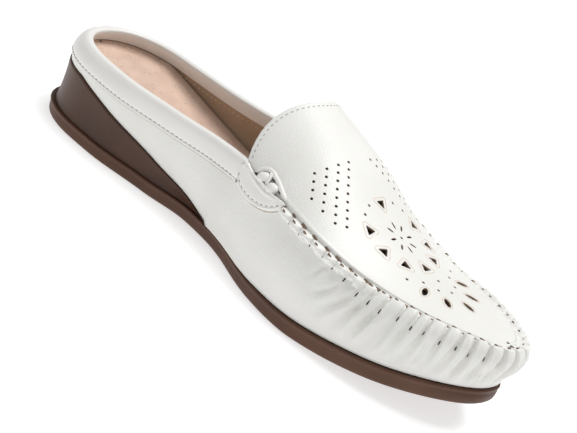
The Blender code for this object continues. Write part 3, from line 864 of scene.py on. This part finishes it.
COLLAR_HEIGHT = 9.2 * MM
COLLAR_INSIDE = 5.5 * MM
COLLAR_STEP = 1.1 * MM
COLLAR_FOLD = 1.1 * MM
COLLAR_BACK = 1.9 * MM
COLLAR_RISE = 1.15 * MM
COLLAR_PROFILE = (
    # share of the height, lift in millimetres
    (1.00, -0.10), (1.00, 0.55), (0.985, 0.95), (0.95, 1.15), (0.91, 1.20), (0.87, 1.06),
    (0.85, 0.96), (0.83, 1.04), (0.79, 1.26), (0.70, 1.45), (0.58, 1.62), (0.44, 1.74),
    (0.30, 1.78), (0.18, 1.72), (0.08, 1.50), (0.02, 1.20),
)


def collar_route():
    """Columns from one mouth corner round the heel to the other."""
    last = MOUTH_RUN + 1.0 * MM
    runs = np.linspace(0.0, last, int(last / 2 / COLLAR_STEP))
    side = np.r_[np.full(len(runs), INNER), np.full(len(runs) - 1, OUTER)]
    return side, np.r_[runs[::-1], runs[1:]]


def by_side(side, run, depth):
    """Points and normals below the topline, for columns that may lie on either side."""
    inner = below_seam(INNER, run, depth)
    outer = below_seam(OUTER, run, depth)
    return [by_column(side, *pair) for pair in zip(inner, outer)]


def collar_height(run):
    """Full height of the collar, a little less where the wall is low at the heel."""
    foot = wall(INNER, run, 0.0)[..., 2]
    top = wall(INNER, run, 1.0)[..., 2]
    return np.minimum(COLLAR_HEIGHT, (top - foot) - 0.9 * MM)


def collar(leather):
    """Cuff that is folded over the topline, from its outer edge to the inner one."""
    side, run = collar_route()
    away = outward(side, run)
    tall = collar_height(run)
    rows = []
    for share, lift in COLLAR_PROFILE:
        place, normal = by_side(side, run, tall * share)
        rows.append(place + normal * lift * MM)
    top, _ = by_side(side, run, 0.0 * run)
    half = (LEATHER + COLLAR_BACK) / 2
    for angle in np.linspace(0.15, 1.0, 7) * math.pi:
        rise = np.array((0.0, 0.0, COLLAR_RISE * math.sin(angle)))
        rows.append(top + away * (COLLAR_FOLD - half + half * math.cos(angle)) + rise)
    for share in (0.10, 0.3, 0.6, 0.85, 1.0):
        place, normal = by_side(side, run, np.minimum(COLLAR_INSIDE, tall * 0.6) * share)
        rows.append(place - normal * (LEATHER + (0.85 - 0.4 * share) * MM))
    points = np.array(rows)
    make("collar", points.reshape(-1, 3), grid_faces(*points.shape[:2]), [leather], ("collar_band",))


def lining(material):
    """Inner face of the wall, a leather's thickness in."""
    side, run = ring_runs(2.2 * MM, 2.2 * MM)
    ups = np.linspace(0.0, 0.985, 22)
    points = by_column(side[None], *(wall(s, run[None], ups[:, None]) for s in (INNER, OUTER)))
    normals = ring_normals(points, np.broadcast_to(outward(side, run), points.shape))
    crease = 0.35 * MM * np.exp(-((ups - 0.10) / 0.05) ** 2)
    points = points - normals * (LEATHER + crease[:, None, None])
    make("lining", points.reshape(-1, 3), grid_faces(*points.shape[:2], True), [material])


BED_INSET = LEATHER + 0.9 * MM
BED_THICK = 3.1 * MM
BED_SKIRT = 2.6 * MM


def insole_point(run, v):
    """Upper face of the footbed. v goes from -1 at the inner side to 1 at the outer."""
    run, v = np.broadcast_arrays(np.asarray(run, float), np.asarray(v, float))
    a, b = (wall(s, run, 0.0) - outward(np.full(run.shape, s), run) * BED_INSET for s in (INNER, OUTER))
    point = (a + b) / 2 + (b - a) / 2 * v[..., None]
    share = (point[..., 0] + MIDDLE_X) / LENGTH
    low = (a[..., 2] + b[..., 2]) / 2
    heel = smoothstep((0.5 - share) / 0.3)
    cup = (1.1 + 1.0 * heel) * MM * np.abs(v) ** 5
    ends = smoothstep((0.06 - share) / 0.06) * 1.4 * MM
    point[..., 2] = low + BED_THICK + np.maximum(cup, ends)
    return point


def close_at_ends(last, count):
    """Runs from the heel, close together at both ends."""
    return (1 - np.cos(np.linspace(0.0, math.pi, count))) / 2 * last


def insole(suede):
    """Footbed with a cupped edge and a skirt down each side."""
    runs = close_at_ends(END - 2.5 * MM, 150) + 1.2 * MM
    vs = np.sin(np.linspace(-math.pi / 2, math.pi / 2, 61))
    top = insole_point(runs[:, None], vs[None, :])
    skirts = [top[:, k:k + 1] - (0.0, 0.0, BED_SKIRT) for k in (0, len(vs) - 1)]
    points = np.concatenate([skirts[0], top, skirts[1]], axis=1)
    make("footbed", points.reshape(-1, 3), grid_faces(*points.shape[:2]), [suede], ("insole",), "pink_suede")


# Sole

SOLE_PROFILE = (
    # inset in millimetres, height as a share of the rim
    (3.2, 0.00), (2.2, 0.012), (1.5, 0.045), (0.95, 0.11), (0.62, 0.20), (0.45, 0.32),
    (0.38, 0.46), (0.34, 0.60), (0.30, 0.70), (0.12, 0.755), (-0.10, 0.80), (-0.20, 0.85),
    (-0.18, 0.90), (0.0, 0.945), (0.45, 0.975), (1.3, 0.965), (2.4, 0.950),
)
HEEL_PROUD = 0.25 * MM
TOE_BLUNT = 0.55 * MM

WEDGE_PROFILE = (
    # height as a share of the wedge, hollow in millimetres
    (-0.05, 0.0), (0.0, 0.0), (0.06, 0.28), (0.2, 0.5), (0.4, 0.62), (0.6, 0.55),
    (0.8, 0.35), (0.93, 0.12), (0.975, 0.10), (1.0, 0.55),
)
LEDGE = 1.25 * MM
LEDGE_HEEL = 0.35 * MM
WEDGE_TOP_PROUD = 0.9 * MM


def sole_loops(runs, rows):
    """Cross loops of a sole layer from rows of (inset, height) for each side."""
    inner = [rim_point(INNER, runs, inset[INNER], height) for inset, height in rows]
    outer = [rim_point(OUTER, runs, inset[OUTER], height) for inset, height in rows]
    middle = [(inner[-1] + outer[-1]) / 2 + (outer[-1] - inner[-1]) / 2 * v for v in (-0.6, 0.0, 0.6)]
    below = [(inner[0] + outer[0]) / 2 + (outer[0] - inner[0]) / 2 * v for v in (0.6, 0.0, -0.6)]
    return np.stack(inner + middle + outer[::-1] + below, axis=1)


def outsole(rubber):
    """Sole with a rounded lower edge, a slightly hollow side and a raised lip."""
    runs = close_at_ends(END - 1e-5, 420)
    share = np.interp(runs, RUNS, SIDES[INNER][0])
    base = bed(share) - rim(share) - wedge_rise(share)
    heel = smoothstep((0.10 - share) / 0.10)
    toe = smoothstep((share - 0.90) / 0.09)
    rows = []
    for inset, up in SOLE_PROFILE:
        proud = HEEL_PROUD * heel * smoothstep((up - 0.6) / 0.2)
        blunt = TOE_BLUNT * toe * smoothstep((up - 0.55) / 0.2)
        value = inset * MM - proud + blunt + toe_tuck(share)
        rows.append(({INNER: value, OUTER: value}, base + up * rim(share)))
    loops = sole_loops(runs, rows)
    make("sole_rubber", loops.reshape(-1, 3), grid_faces(*loops.shape[:2], True), [rubber], ("outsole",),
         "brown_rubber")


def heel_wedge(rubber):
    """Wedge with hollow sides on a ledge of the sole, closed at its thin end."""
    last = np.interp(WEDGE_END + 0.004, SIDES[INNER][0], RUNS)
    runs = close_at_ends(2 * last, 300)[:150]
    share = np.interp(runs, RUNS, SIDES[INNER][0])
    top = bed(share)
    base = top - wedge_rise(share)
    ledge = LEDGE + LEDGE_HEEL * smoothstep((0.13 - share) / 0.13)
    rows = []
    for up, hollow in WEDGE_PROFILE:
        inset = {s: ledge + up * (foot_inset(s, share) - WEDGE_TOP_PROUD - LEDGE) + hollow * MM
                 for s in (INNER, OUTER)}
        rows.append((inset, base + up * (top - base)))
    loops = sole_loops(runs, rows)
    count = loops.shape[0] * loops.shape[1]
    faces = grid_faces(*loops.shape[:2], True) + [tuple(range(count - loops.shape[1], count))]
    make("wedge", loops.reshape(-1, 3), faces, [rubber], ("heel_wedge",), "dark_brown_wedge")


# Side tabs and knots

TAB_START = -0.5 * MM
TAB_LONG = 28.5 * MM
TAB_DEEP = 10.0 * MM
TAB_UPPER = 0.4 * MM
TAB_LOWER = 1.2 * MM
TAB_LIFT = 2.0 * MM
TAB_STITCH = 2.0 * MM
TAB_EDGE = 0.8 * MM
TAB_GROOVE = 0.22 * MM
TAB_GROOVE_IN = 1.9 * MM
TAB_GROOVE_WIDE = 0.45 * MM
TAB_FULLNESS = 0.25 * MM


def tab_depth(s):
    """Depth of the tab below the seam at a share of its length."""
    return TAB_DEEP * np.clip(1 - np.abs(2 * s ** 0.74 - 1) ** 2.2, 0, 1) ** 0.60


def tab_line(side, s, depth):
    """Points and normals of a line along the tab, at depths below the seam."""
    return below_seam(side, MOUTH_RUN + 2 * (TAB_START + s * TAB_LONG), depth)


def side_tab(side, name, leather, node):
    """Oval tab with a rounded edge and a groove for its stitches."""
    s = np.linspace(0.0, 1.0, 90)
    deep = TAB_LOWER + tab_depth(s) - TAB_UPPER
    points = []
    for w in np.linspace(0.0, 1.0, 30):
        place, normal = tab_line(side, s, TAB_UPPER + deep * w)
        border = np.minimum((1 - w) * deep, np.minimum(s, 1 - s) * TAB_LONG + 0.6 * MM * w)
        edge = np.clip(border / TAB_EDGE, 0, 1)
        lift = TAB_LIFT * np.sqrt(1 - (1 - edge) ** 2)
        lift -= TAB_GROOVE * np.exp(-((border - TAB_GROOVE_IN) / TAB_GROOVE_WIDE) ** 2)
        lift += TAB_FULLNESS * smoothstep(border / (5 * MM))
        points.append(place + normal * lift[:, None])
    points = np.array(points)
    make(name, points.reshape(-1, 3), grid_faces(*points.shape[:2]), [leather], (node,))


def tab_stitches(side, name, thread):
    s = np.linspace(0.03, 0.97, 120)
    depth = np.maximum(TAB_LOWER + tab_depth(s) - TAB_STITCH, 0.3 * MM)
    stitches(name, *tab_line(side, s, depth), TAB_STITCHES, 1.95 * MM, thread)


def painted_shadow_line(name, place, normal, material):
    """Thin grey line painted as the shadow under the lower edge of a piece of leather."""
    verts, faces = tube(place + normal * 0.05 * MM, normal, 0.75 * MM, 0.35 * MM, 0.02, 6)
    make(name, verts, faces, [material])


def seam_point(side, run, inward, lift):
    """Points by the seam: inward over the apron or, below zero, out over the wall."""
    run = np.atleast_1d(np.asarray(run, float))
    inward = np.broadcast_to(inward, run.shape)
    lift = np.broadcast_to(lift, run.shape)
    top = wall(side, run, 1.0)
    away = outward(np.full(run.shape, side), run)
    out, normals = below_seam(side, run, np.maximum(-inward, 0.0))
    for k in np.flatnonzero(inward > 0):
        point, normal = drop_on_apron(top[k] - away[k] * inward[k])
        blend = min(inward[k] / (3 * MM), 1.0)
        normals[k] = normals[k] * (1 - blend) + normal * blend
        out[k] = point
    normals = unit(normals + away * 0.15 + np.array((0.0, 0.0, 0.35)))
    return out + normals * lift[:, None], normals


def tube(path, normals, width, height, taper, sides=14):
    """Flattened tube along a path, tapered shut at both ends."""
    share = np.linspace(0.0, 1.0, len(path))
    close = np.clip(np.minimum(share, 1 - share) / taper, 0.02, 1.0)
    close = np.sqrt(1 - (1 - close) ** 2)
    tangent = unit(np.gradient(path, axis=0))
    sideways = unit(np.cross(normals, tangent))
    turn = np.linspace(0, 2 * math.pi, sides, endpoint=False)
    ring = np.stack([np.cos(turn) * width / 2, np.sin(turn) * height / 2], 1)
    axes = np.stack([sideways, np.cross(tangent, sideways)], 1) * close[:, None, None]
    return (path[:, None, :] + ring @ axes).reshape(-1, 3), grid_faces(len(path), sides, True)


def make_joined(name, parts, material, replaces=()):
    """One mesh object from several lots of verts and faces."""
    faces = []
    start = 0
    for verts, some_faces in parts:
        faces += [tuple(i + start for i in face) for face in some_faces]
        start += len(verts)
    make(name, np.concatenate([verts for verts, _ in parts]), faces, [material], replaces)


KNOT_PATHS = (
    # width, height, taper, then points of (along, inward, lift), all but taper in millimetres
    (4.9, 3.8, 0.50, ((9.5, -1.5, 0.3), (12.2, 0.0, 0.9), (14.8, 1.0, 0.4))),
    (4.8, 3.8, 0.50, ((16.0, -2.1, 0.3), (18.8, -0.4, 0.9), (21.4, 0.7, 0.4))),
    (2.0, 1.9, 0.12, ((6.6, -0.5, 0.2), (9.5, 1.3, 0.4), (12.5, 2.1, 0.5), (16.0, 1.9, 0.6),
                      (19.5, 1.6, 0.6), (23.0, 1.0, 0.5), (26.5, 0.4, 0.1))),
    (1.6, 1.6, 0.20, ((12.6, 2.0, 0.7), (14.6, 1.2, 1.0), (15.6, -0.6, 1.0), (15.4, -2.8, 1.2))),
    (2.2, 1.8, 0.15, ((-0.8, 0.0, 0.9), (1.6, -0.4, 1.1), (4.2, -1.4, 1.4), (7.5, -2.4, 1.6),
                      (12.0, -3.2, 1.9), (17.0, -3.5, 1.9), (22.5, -2.3, 1.7), (28.5, -0.8, 0.6))),
)


def smooth_path(points, count):
    """Smooth curve through points, evenly divided between them."""
    points = np.array(points, float)
    slopes = np.gradient(points, axis=0)
    t = np.linspace(0, len(points) - 1, count)
    left = np.clip(t.astype(int), 0, len(points) - 2)
    f = (t - left)[:, None]
    return ((1 + 2 * f) * (1 - f) ** 2 * points[left] + f * (1 - f) ** 2 * slopes[left]
            + f * f * (3 - 2 * f) * points[left + 1] - f * f * (1 - f) * slopes[left + 1])


def knot(side, name, leather, node):
    parts = []
    for width, height, taper, path in KNOT_PATHS:
        along, inward, lift = smooth_path(path, 34).T * MM
        place, normals = seam_point(side, MOUTH_RUN + 2 * along, inward, lift)
        parts.append(tube(place, normals, width * MM, height * MM, taper))
    make_joined(name, parts, leather, (node,))


# Places of dark beads of painted shade in the gaps between the knot's strands.
KNOT_GAP_SHADE = (
    # along, inward, size in millimetres
    (8.2, -0.9, 1.9),
    (11.0, 1.6, 1.5),
    (14.0, -2.2, 1.9),
    (16.6, 1.2, 2.0),
    (22.8, 0.5, 2.0),
)


# Painted shade: dark beads in the gaps between the knot's strands.
def knot_gap_shade(side, name, dark):
    along, inward, size = np.array(KNOT_GAP_SHADE).T * MM
    place, normals = seam_point(side, MOUTH_RUN + 2 * along, inward, 0.75 * MM)
    tangent = unit(np.cross(normals, (0.0, 0.0, 1.0)))
    make(name, *beads(place, normals, tangent, size, 0.7 * MM, 1.0 * MM), [dark])


# Threads of the seam

PINCHES = 18
THREAD_LIFT = {INNER: 0.30 * MM, OUTER: -0.45 * MM}
SEAM_STITCHES = (
    # share of a pinch, depth, length and width in millimetres
    (0.0, 1.20, 3.2, 1.2),
    (0.42, 1.75, 2.1, 0.85),
)


def on_gathers(side, run, depth, lift):
    """Points and normals on the gathered wall."""
    place, normals = below_seam(side, run, depth)
    return place + normals * (wall_lift(side, run, depth) + lift)[:, None], normals


def seam_threads(thread):
    """Long and short stitches that alternate in the groove of the seam."""
    parts = []
    for side in (INNER, OUTER):
        for share, depth, long, wide in SEAM_STITCHES:
            number = np.arange(-1, PINCHES) + share
            run = np.minimum(pinch_run(side, number), END - 2 * MM)
            place, normals = on_gathers(side, run, depth * MM + 0 * run, THREAD_LIFT[side])
            ahead, _ = below_seam(side, run + 1 * MM, (depth + 0.12) * MM)
            behind, _ = below_seam(side, run - 1 * MM, (depth - 0.12) * MM)
            size = 1 + 0.16 * np.sin(2.3 * number + side) - 0.25 * smoothstep((number - 14) / 3)
            parts.append(beads(place, normals, unit(ahead - behind), long * MM * size, wide * MM * size,
                               0.7 * MM))
    make_joined("seam_thread", parts, thread)


def pin_hole_shade(dark):
    """Dark beads at the foot of each pinch: painted shade in the stitch holes."""
    parts = []
    for side in (INNER, OUTER):
        number = np.arange(PINCHES)
        run = np.minimum(pinch_run(side, number), END - 1 * MM)
        depth = pinch_depth(number)
        place, normals = on_gathers(side, run, depth, 0.0)
        lower, _ = on_gathers(side, run - 0.2 * MM, depth + 0.7 * MM, 0.0)
        size = 0.55 + 0.45 * smoothstep((number - 4) / 3.0)
        parts.append(beads(place, normals, unit(lower - place), 2.7 * MM * size, 1.10 * MM * size, 0.7 * MM))
    make_joined("pinch_hole_shade", parts, dark)


# Materials

SURFACES = {
    # name, colour, roughness, dark blotch, light blotch, blotches a metre, their detail,
    # then where there is grain: cell, strength, depth, fine grains a metre
    "leather": ("white_grained_leather", (0.76, 0.75, 0.72), 0.46, (0.735, 0.730, 0.695),
                (0.79, 0.785, 0.755), 30.0, 4.0, (0.8 * MM, 0.30, 0.28 * MM, 1000.0)),
    "smooth": ("white_smooth_leather", (0.78, 0.77, 0.74), 0.42, (0.76, 0.75, 0.72),
               (0.80, 0.79, 0.765), 25.0, 4.0, (0.6 * MM, 0.10, 0.15 * MM, 1400.0)),
    "tan": ("tan_lining", (0.42, 0.30, 0.205), 0.7, (0.39, 0.275, 0.185),
            (0.46, 0.335, 0.235), 60.0, 4.0, (0.5 * MM, 0.12, 0.15 * MM, 1500.0)),
    "suede": ("pink_beige_suede", (0.72, 0.50, 0.39), 0.85, (0.59, 0.41, 0.32),
              (0.70, 0.51, 0.405), 110.0, 6.0, (0.5 * MM, 0.55, 0.3 * MM, 1800.0)),
    "rubber": ("brown_sole_rubber", (0.090, 0.038, 0.020), 0.50, (0.078, 0.032, 0.016),
               (0.108, 0.048, 0.026), 45.0, 4.0, (0.5 * MM, 0.06, 0.1 * MM, 1600.0)),
    "dark_rubber": ("dark_brown_wedge_rubber", (0.055, 0.025, 0.015), 0.45, (0.050, 0.020, 0.010),
                    (0.080, 0.034, 0.018), 35.0, 4.0, (0.5 * MM, 0.05, 0.1 * MM, 1600.0)),
    "grey": ("grey_thread", (0.36, 0.35, 0.33), 0.8, (0.30, 0.29, 0.27), (0.42, 0.41, 0.38), 600.0, 4.0),
    "pale": ("pale_thread", (0.72, 0.62, 0.48), 0.8, (0.66, 0.56, 0.42), (0.78, 0.68, 0.54), 600.0, 4.0),
    "brown": ("brown_thread", (0.16, 0.10, 0.065), 0.8, (0.12, 0.075, 0.048), (0.22, 0.15, 0.10), 500.0, 4.0),
    # Near-black of the painted shade in the punched holes, the knot's gaps and the stitch holes.
    "dark": ("painted_shade_dark", (0.035, 0.026, 0.020), 0.9, (0.028, 0.021, 0.016), (0.05, 0.036, 0.027), 400.0, 4.0),
    "line": ("tan_edge_line", (0.66, 0.47, 0.31), 0.7, (0.60, 0.42, 0.27), (0.72, 0.54, 0.38), 400.0, 4.0),
    "cut": ("cut_leather_edge", (0.20, 0.13, 0.085), 0.8, (0.16, 0.10, 0.065),
            (0.26, 0.18, 0.12), 500.0, 4.0),
    # Grey of the painted shadow line under the lower edges of the collar and the tabs.
    "shade": ("painted_edge_shadow", (0.47, 0.43, 0.38), 0.8, (0.42, 0.385, 0.335),
              (0.53, 0.485, 0.43), 300.0, 4.0),
    "floor": ("floor_white", (0.62, 0.62, 0.62), 0.9, (0.615, 0.615, 0.615),
              (0.625, 0.625, 0.625), 2.0, 4.0),
}
PIT_SPACING = 2.4 * MM
RUBBER_SPECULAR = 0.32
SUEDE_SHEEN = 0.25


def add_node(tree, kind, values):
    """New shader node, with some of its inputs set."""
    node = tree.nodes.new(kind)
    for name, value in values.items():
        node.inputs[name].default_value = value
    return node


def object_place(tree):
    return tree.nodes.new("ShaderNodeTexCoord").outputs["Object"]


def grain(tree, cell, strength, depth, fine):
    """Pebbled grain as a bump: cells of a size in metres, with finer noise on them."""
    cells = add_node(tree, "ShaderNodeTexVoronoi", {"Scale": 1.0 / cell})
    cells.feature = "SMOOTH_F1"
    noise = add_node(tree, "ShaderNodeTexNoise", {"Scale": fine, "Detail": 6.0})
    mix = add_node(tree, "ShaderNodeMath", {})
    mix.operation = "ADD"
    bump = add_node(tree, "ShaderNodeBump", {"Strength": strength, "Distance": depth})
    place = object_place(tree)
    tree.links.new(place, cells.inputs["Vector"])
    tree.links.new(place, noise.inputs["Vector"])
    tree.links.new(cells.outputs["Distance"], mix.inputs[0])
    tree.links.new(noise.outputs["Fac"], mix.inputs[1])
    tree.links.new(mix.outputs["Value"], bump.inputs["Height"])
    tree.links.new(bump.outputs["Normal"], tree.nodes["Principled BSDF"].inputs["Normal"])


def pit_shade(tree, spacing):
    """Small dark spots over a surface, mixed into its colour: painted shade in its pits."""
    base = tree.nodes["Principled BSDF"].inputs["Base Color"]
    colour = base.links[0].from_socket
    cells = add_node(tree, "ShaderNodeTexVoronoi", {"Scale": 1.0 / spacing, "Randomness": 0.55})
    edge = add_node(tree, "ShaderNodeMapRange",
                    {"From Min": 0.10, "From Max": 0.20, "To Min": 0.62, "To Max": 1.0})
    darken = tree.nodes.new("ShaderNodeMix")
    darken.data_type = "RGBA"
    darken.blend_type = "MULTIPLY"
    darken.inputs["Factor"].default_value = 1.0
    tree.links.new(object_place(tree), cells.inputs["Vector"])
    tree.links.new(cells.outputs["Distance"], edge.inputs["Value"])
    tree.links.new(colour, darken.inputs[6])
    tree.links.new(edge.outputs["Result"], darken.inputs[7])
    tree.links.new(darken.outputs[2], base)


def build_material(name, colour, roughness, low, high, scale, detail, bumps=None):
    """Material with soft blotches between two colours, and grain where it has any."""
    material = bpy.data.materials.new(name)
    material.use_nodes = True
    tree = material.node_tree
    shader = tree.nodes["Principled BSDF"]
    shader.inputs["Base Color"].default_value = (*colour, 1.0)
    shader.inputs["Roughness"].default_value = roughness
    noise = add_node(tree, "ShaderNodeTexNoise", {"Scale": scale, "Detail": detail})
    ramp = tree.nodes.new("ShaderNodeValToRGB")
    for k, (position, shade) in enumerate(((0.3, low), (0.7, high))):
        ramp.color_ramp.elements[k].position = position
        ramp.color_ramp.elements[k].color = (*shade, 1.0)
    tree.links.new(object_place(tree), noise.inputs["Vector"])
    tree.links.new(noise.outputs["Fac"], ramp.inputs["Fac"])
    tree.links.new(ramp.outputs["Color"], shader.inputs["Base Color"])
    if bumps:
        grain(tree, *bumps)
    return material


def build_materials():
    kit = {key: build_material(*row) for key, row in SURFACES.items()}
    trees = {key: material.node_tree for key, material in kit.items()}
    # Painted shade in the footbed's pits, as dark spots in its colour.
    pit_shade(trees["suede"], PIT_SPACING)
    trees["suede"].nodes["Principled BSDF"].inputs["Sheen Weight"].default_value = SUEDE_SHEEN
    for key in ("rubber", "dark_rubber"):
        trees[key].nodes["Principled BSDF"].inputs["Specular IOR Level"].default_value = RUBBER_SPECULAR
    return kit


# Floor, light and camera

FLOOR_HALF = 4.0
FLOOR_GLOW = 0.66
WORLD_STRENGTH = 0.37
WHITE = (1.0, 1.0, 1.0, 1.0)
LIGHT_TARGET = (0.0, 0.0, 0.03)
LIGHTS = (
    # name, place, size, power
    ("key", (0.25, 0.35, 1.6), 1.0, 26.0),
    ("fill", (0.3, -1.4, 0.7), 1.2, 1.0),
)


def build_studio(material):
    mesh = bpy.data.meshes.new("floor")
    mesh.from_pydata([(x * FLOOR_HALF, y * FLOOR_HALF, 0) for x, y in ((-1, -1), (1, -1), (1, 1), (-1, 1))],
                     [], [(0, 1, 2, 3)])
    shader = material.node_tree.nodes["Principled BSDF"]
    shader.inputs["Emission Color"].default_value = WHITE
    shader.inputs["Emission Strength"].default_value = FLOOR_GLOW
    mesh.materials.append(material)
    floor = bpy.data.objects.new("floor", mesh)
    bpy.context.collection.objects.link(floor)

    for name, place, size, power in LIGHTS:
        light = bpy.data.lights.new(name, "AREA")
        light.size = size
        light.energy = power
        obj = bpy.data.objects.new(name, light)
        obj.location = place
        obj.rotation_euler = (Vector(LIGHT_TARGET) - Vector(place)).to_track_quat("-Z", "Y").to_euler()
        bpy.context.collection.objects.link(obj)

    world = bpy.data.worlds.new("studio")
    world.use_nodes = True
    background = world.node_tree.nodes["Background"]
    background.inputs["Color"].default_value = WHITE
    background.inputs["Strength"].default_value = WORLD_STRENGTH
    bpy.context.scene.world = world
    bpy.context.scene.view_settings.view_transform = "Standard"


CAMERA_PLACE = (0.33688, -0.59314, 0.29670)
CAMERA_TARGET = (0.00543, -0.00150, 0.02145)
CAMERA_ROLL = -26.80
LENS = 111.1


def build_camera():
    data = bpy.data.cameras.new("camera")
    data.lens = LENS
    data.sensor_width = 36.0
    data.sensor_fit = "HORIZONTAL"
    data.clip_start = 0.01
    camera = bpy.data.objects.new("camera", data)
    forward = (Vector(CAMERA_TARGET) - Vector(CAMERA_PLACE)).normalized()
    right = forward.cross(Vector((0.0, 0.0, 1.0))).normalized()
    up = right.cross(forward)
    roll = math.radians(CAMERA_ROLL)
    turned_up = up * math.cos(roll) + right * math.sin(roll)
    turned_right = forward.cross(turned_up)
    matrix = Matrix((turned_right, turned_up, -forward)).transposed().to_4x4()
    matrix.translation = Vector(CAMERA_PLACE)
    camera.matrix_world = matrix
    bpy.context.collection.objects.link(camera)
    bpy.context.scene.camera = camera


# Stitches and main steps

# Pitch, length and thickness of each row of stitches
EDGE_STITCHES = (2.5 * MM, 1.3 * MM, 0.42 * MM)
TAB_STITCHES = (2.6 * MM, 1.25 * MM, 0.42 * MM)
LINING_STITCHES = (2.6 * MM, 1.3 * MM, 0.40 * MM)
BED_STITCHES = (3.0 * MM, 1.6 * MM, 0.42 * MM)


def edge_details(thread, shade):
    """Painted shadow line and stitches of the collar, and the stitches of the tongue."""
    side, run = collar_route()
    tall = collar_height(run)
    painted_shadow_line("collar_edge_shadow", *by_side(side, run, tall + 0.12 * MM), shade)
    stitches("collar_thread", *by_side(side, run, tall * 0.85), EDGE_STITCHES, 1.02 * MM, thread, 3 * MM)
    us = np.linspace(-0.97, 0.97, 200)
    run = np.full(200, MOUTH_RUN + 2 * TONGUE_STITCH)
    stitches("tongue_thread", apron(run, us), apron_normal(run, us), EDGE_STITCHES, -0.05 * MM, thread)


def inside_threads(side, word, thread):
    """Stitches on the lining and round the footbed."""
    place, normal = below_seam(side, np.linspace(0.35, 0.97, 120) * MOUTH_RUN, 8.2 * MM)
    stitches("lining_thread_" + word, place - normal * (LEATHER + 0.15 * MM), -normal, LINING_STITCHES, 0.0,
             thread)
    place = insole_point(np.linspace(0.02, 0.75, 300) * END, side * 0.86 * np.ones(300))
    normal = np.tile((0.0, 0.0, 1.0), (300, 1))
    stitches("footbed_thread_" + word, place, normal, BED_STITCHES, 0.02 * MM, thread, 0.0, "pink_suede")


def main():
    kit = build_materials()
    upper_wall(kit["leather"])
    apron_mesh(kit["leather"], kit["cut"])
    contours(kit["line"])
    # Dark sheet of painted shade under the punched holes, so that they look dark inside.
    sheet_under_apron("painted_hole_shade", APRON_THICK + 0.25 * MM, kit["dark"], 14 * MM)
    sheet_under_apron("vamp_lining", APRON_THICK + 0.6 * MM, kit["tan"], 1.0 * MM)
    collar(kit["smooth"])
    lining(kit["tan"])
    insole(kit["suede"])
    outsole(kit["rubber"])
    heel_wedge(kit["dark_rubber"])
    names = ((INNER, "inner"), (OUTER, "outer"))
    for side, word in names:
        side_tab(side, "side_tab_" + word, kit["smooth"], "tab_" + word)
        tab_stitches(side, "tab_thread_" + word, kit["grey"])
        s = np.linspace(0.06, 0.97, 90)
        # Grey line of painted shadow under the tab's lower edge.
        painted_shadow_line("tab_edge_shadow_" + word, *tab_line(side, s, TAB_LOWER + 0.1 * MM + tab_depth(s)), kit["shade"])
        knot(side, "woven_knot_" + word, kit["smooth"], "knot_" + word)
        knot_gap_shade(side, "knot_gap_shade_" + word, kit["dark"])
    seam_threads(kit["brown"])
    pin_hole_shade(kit["dark"])
    edge_details(kit["grey"], kit["shade"])
    for side, word in names:
        inside_threads(side, word, kit["pale"])
    build_studio(kit["floor"])
    build_camera()


main()
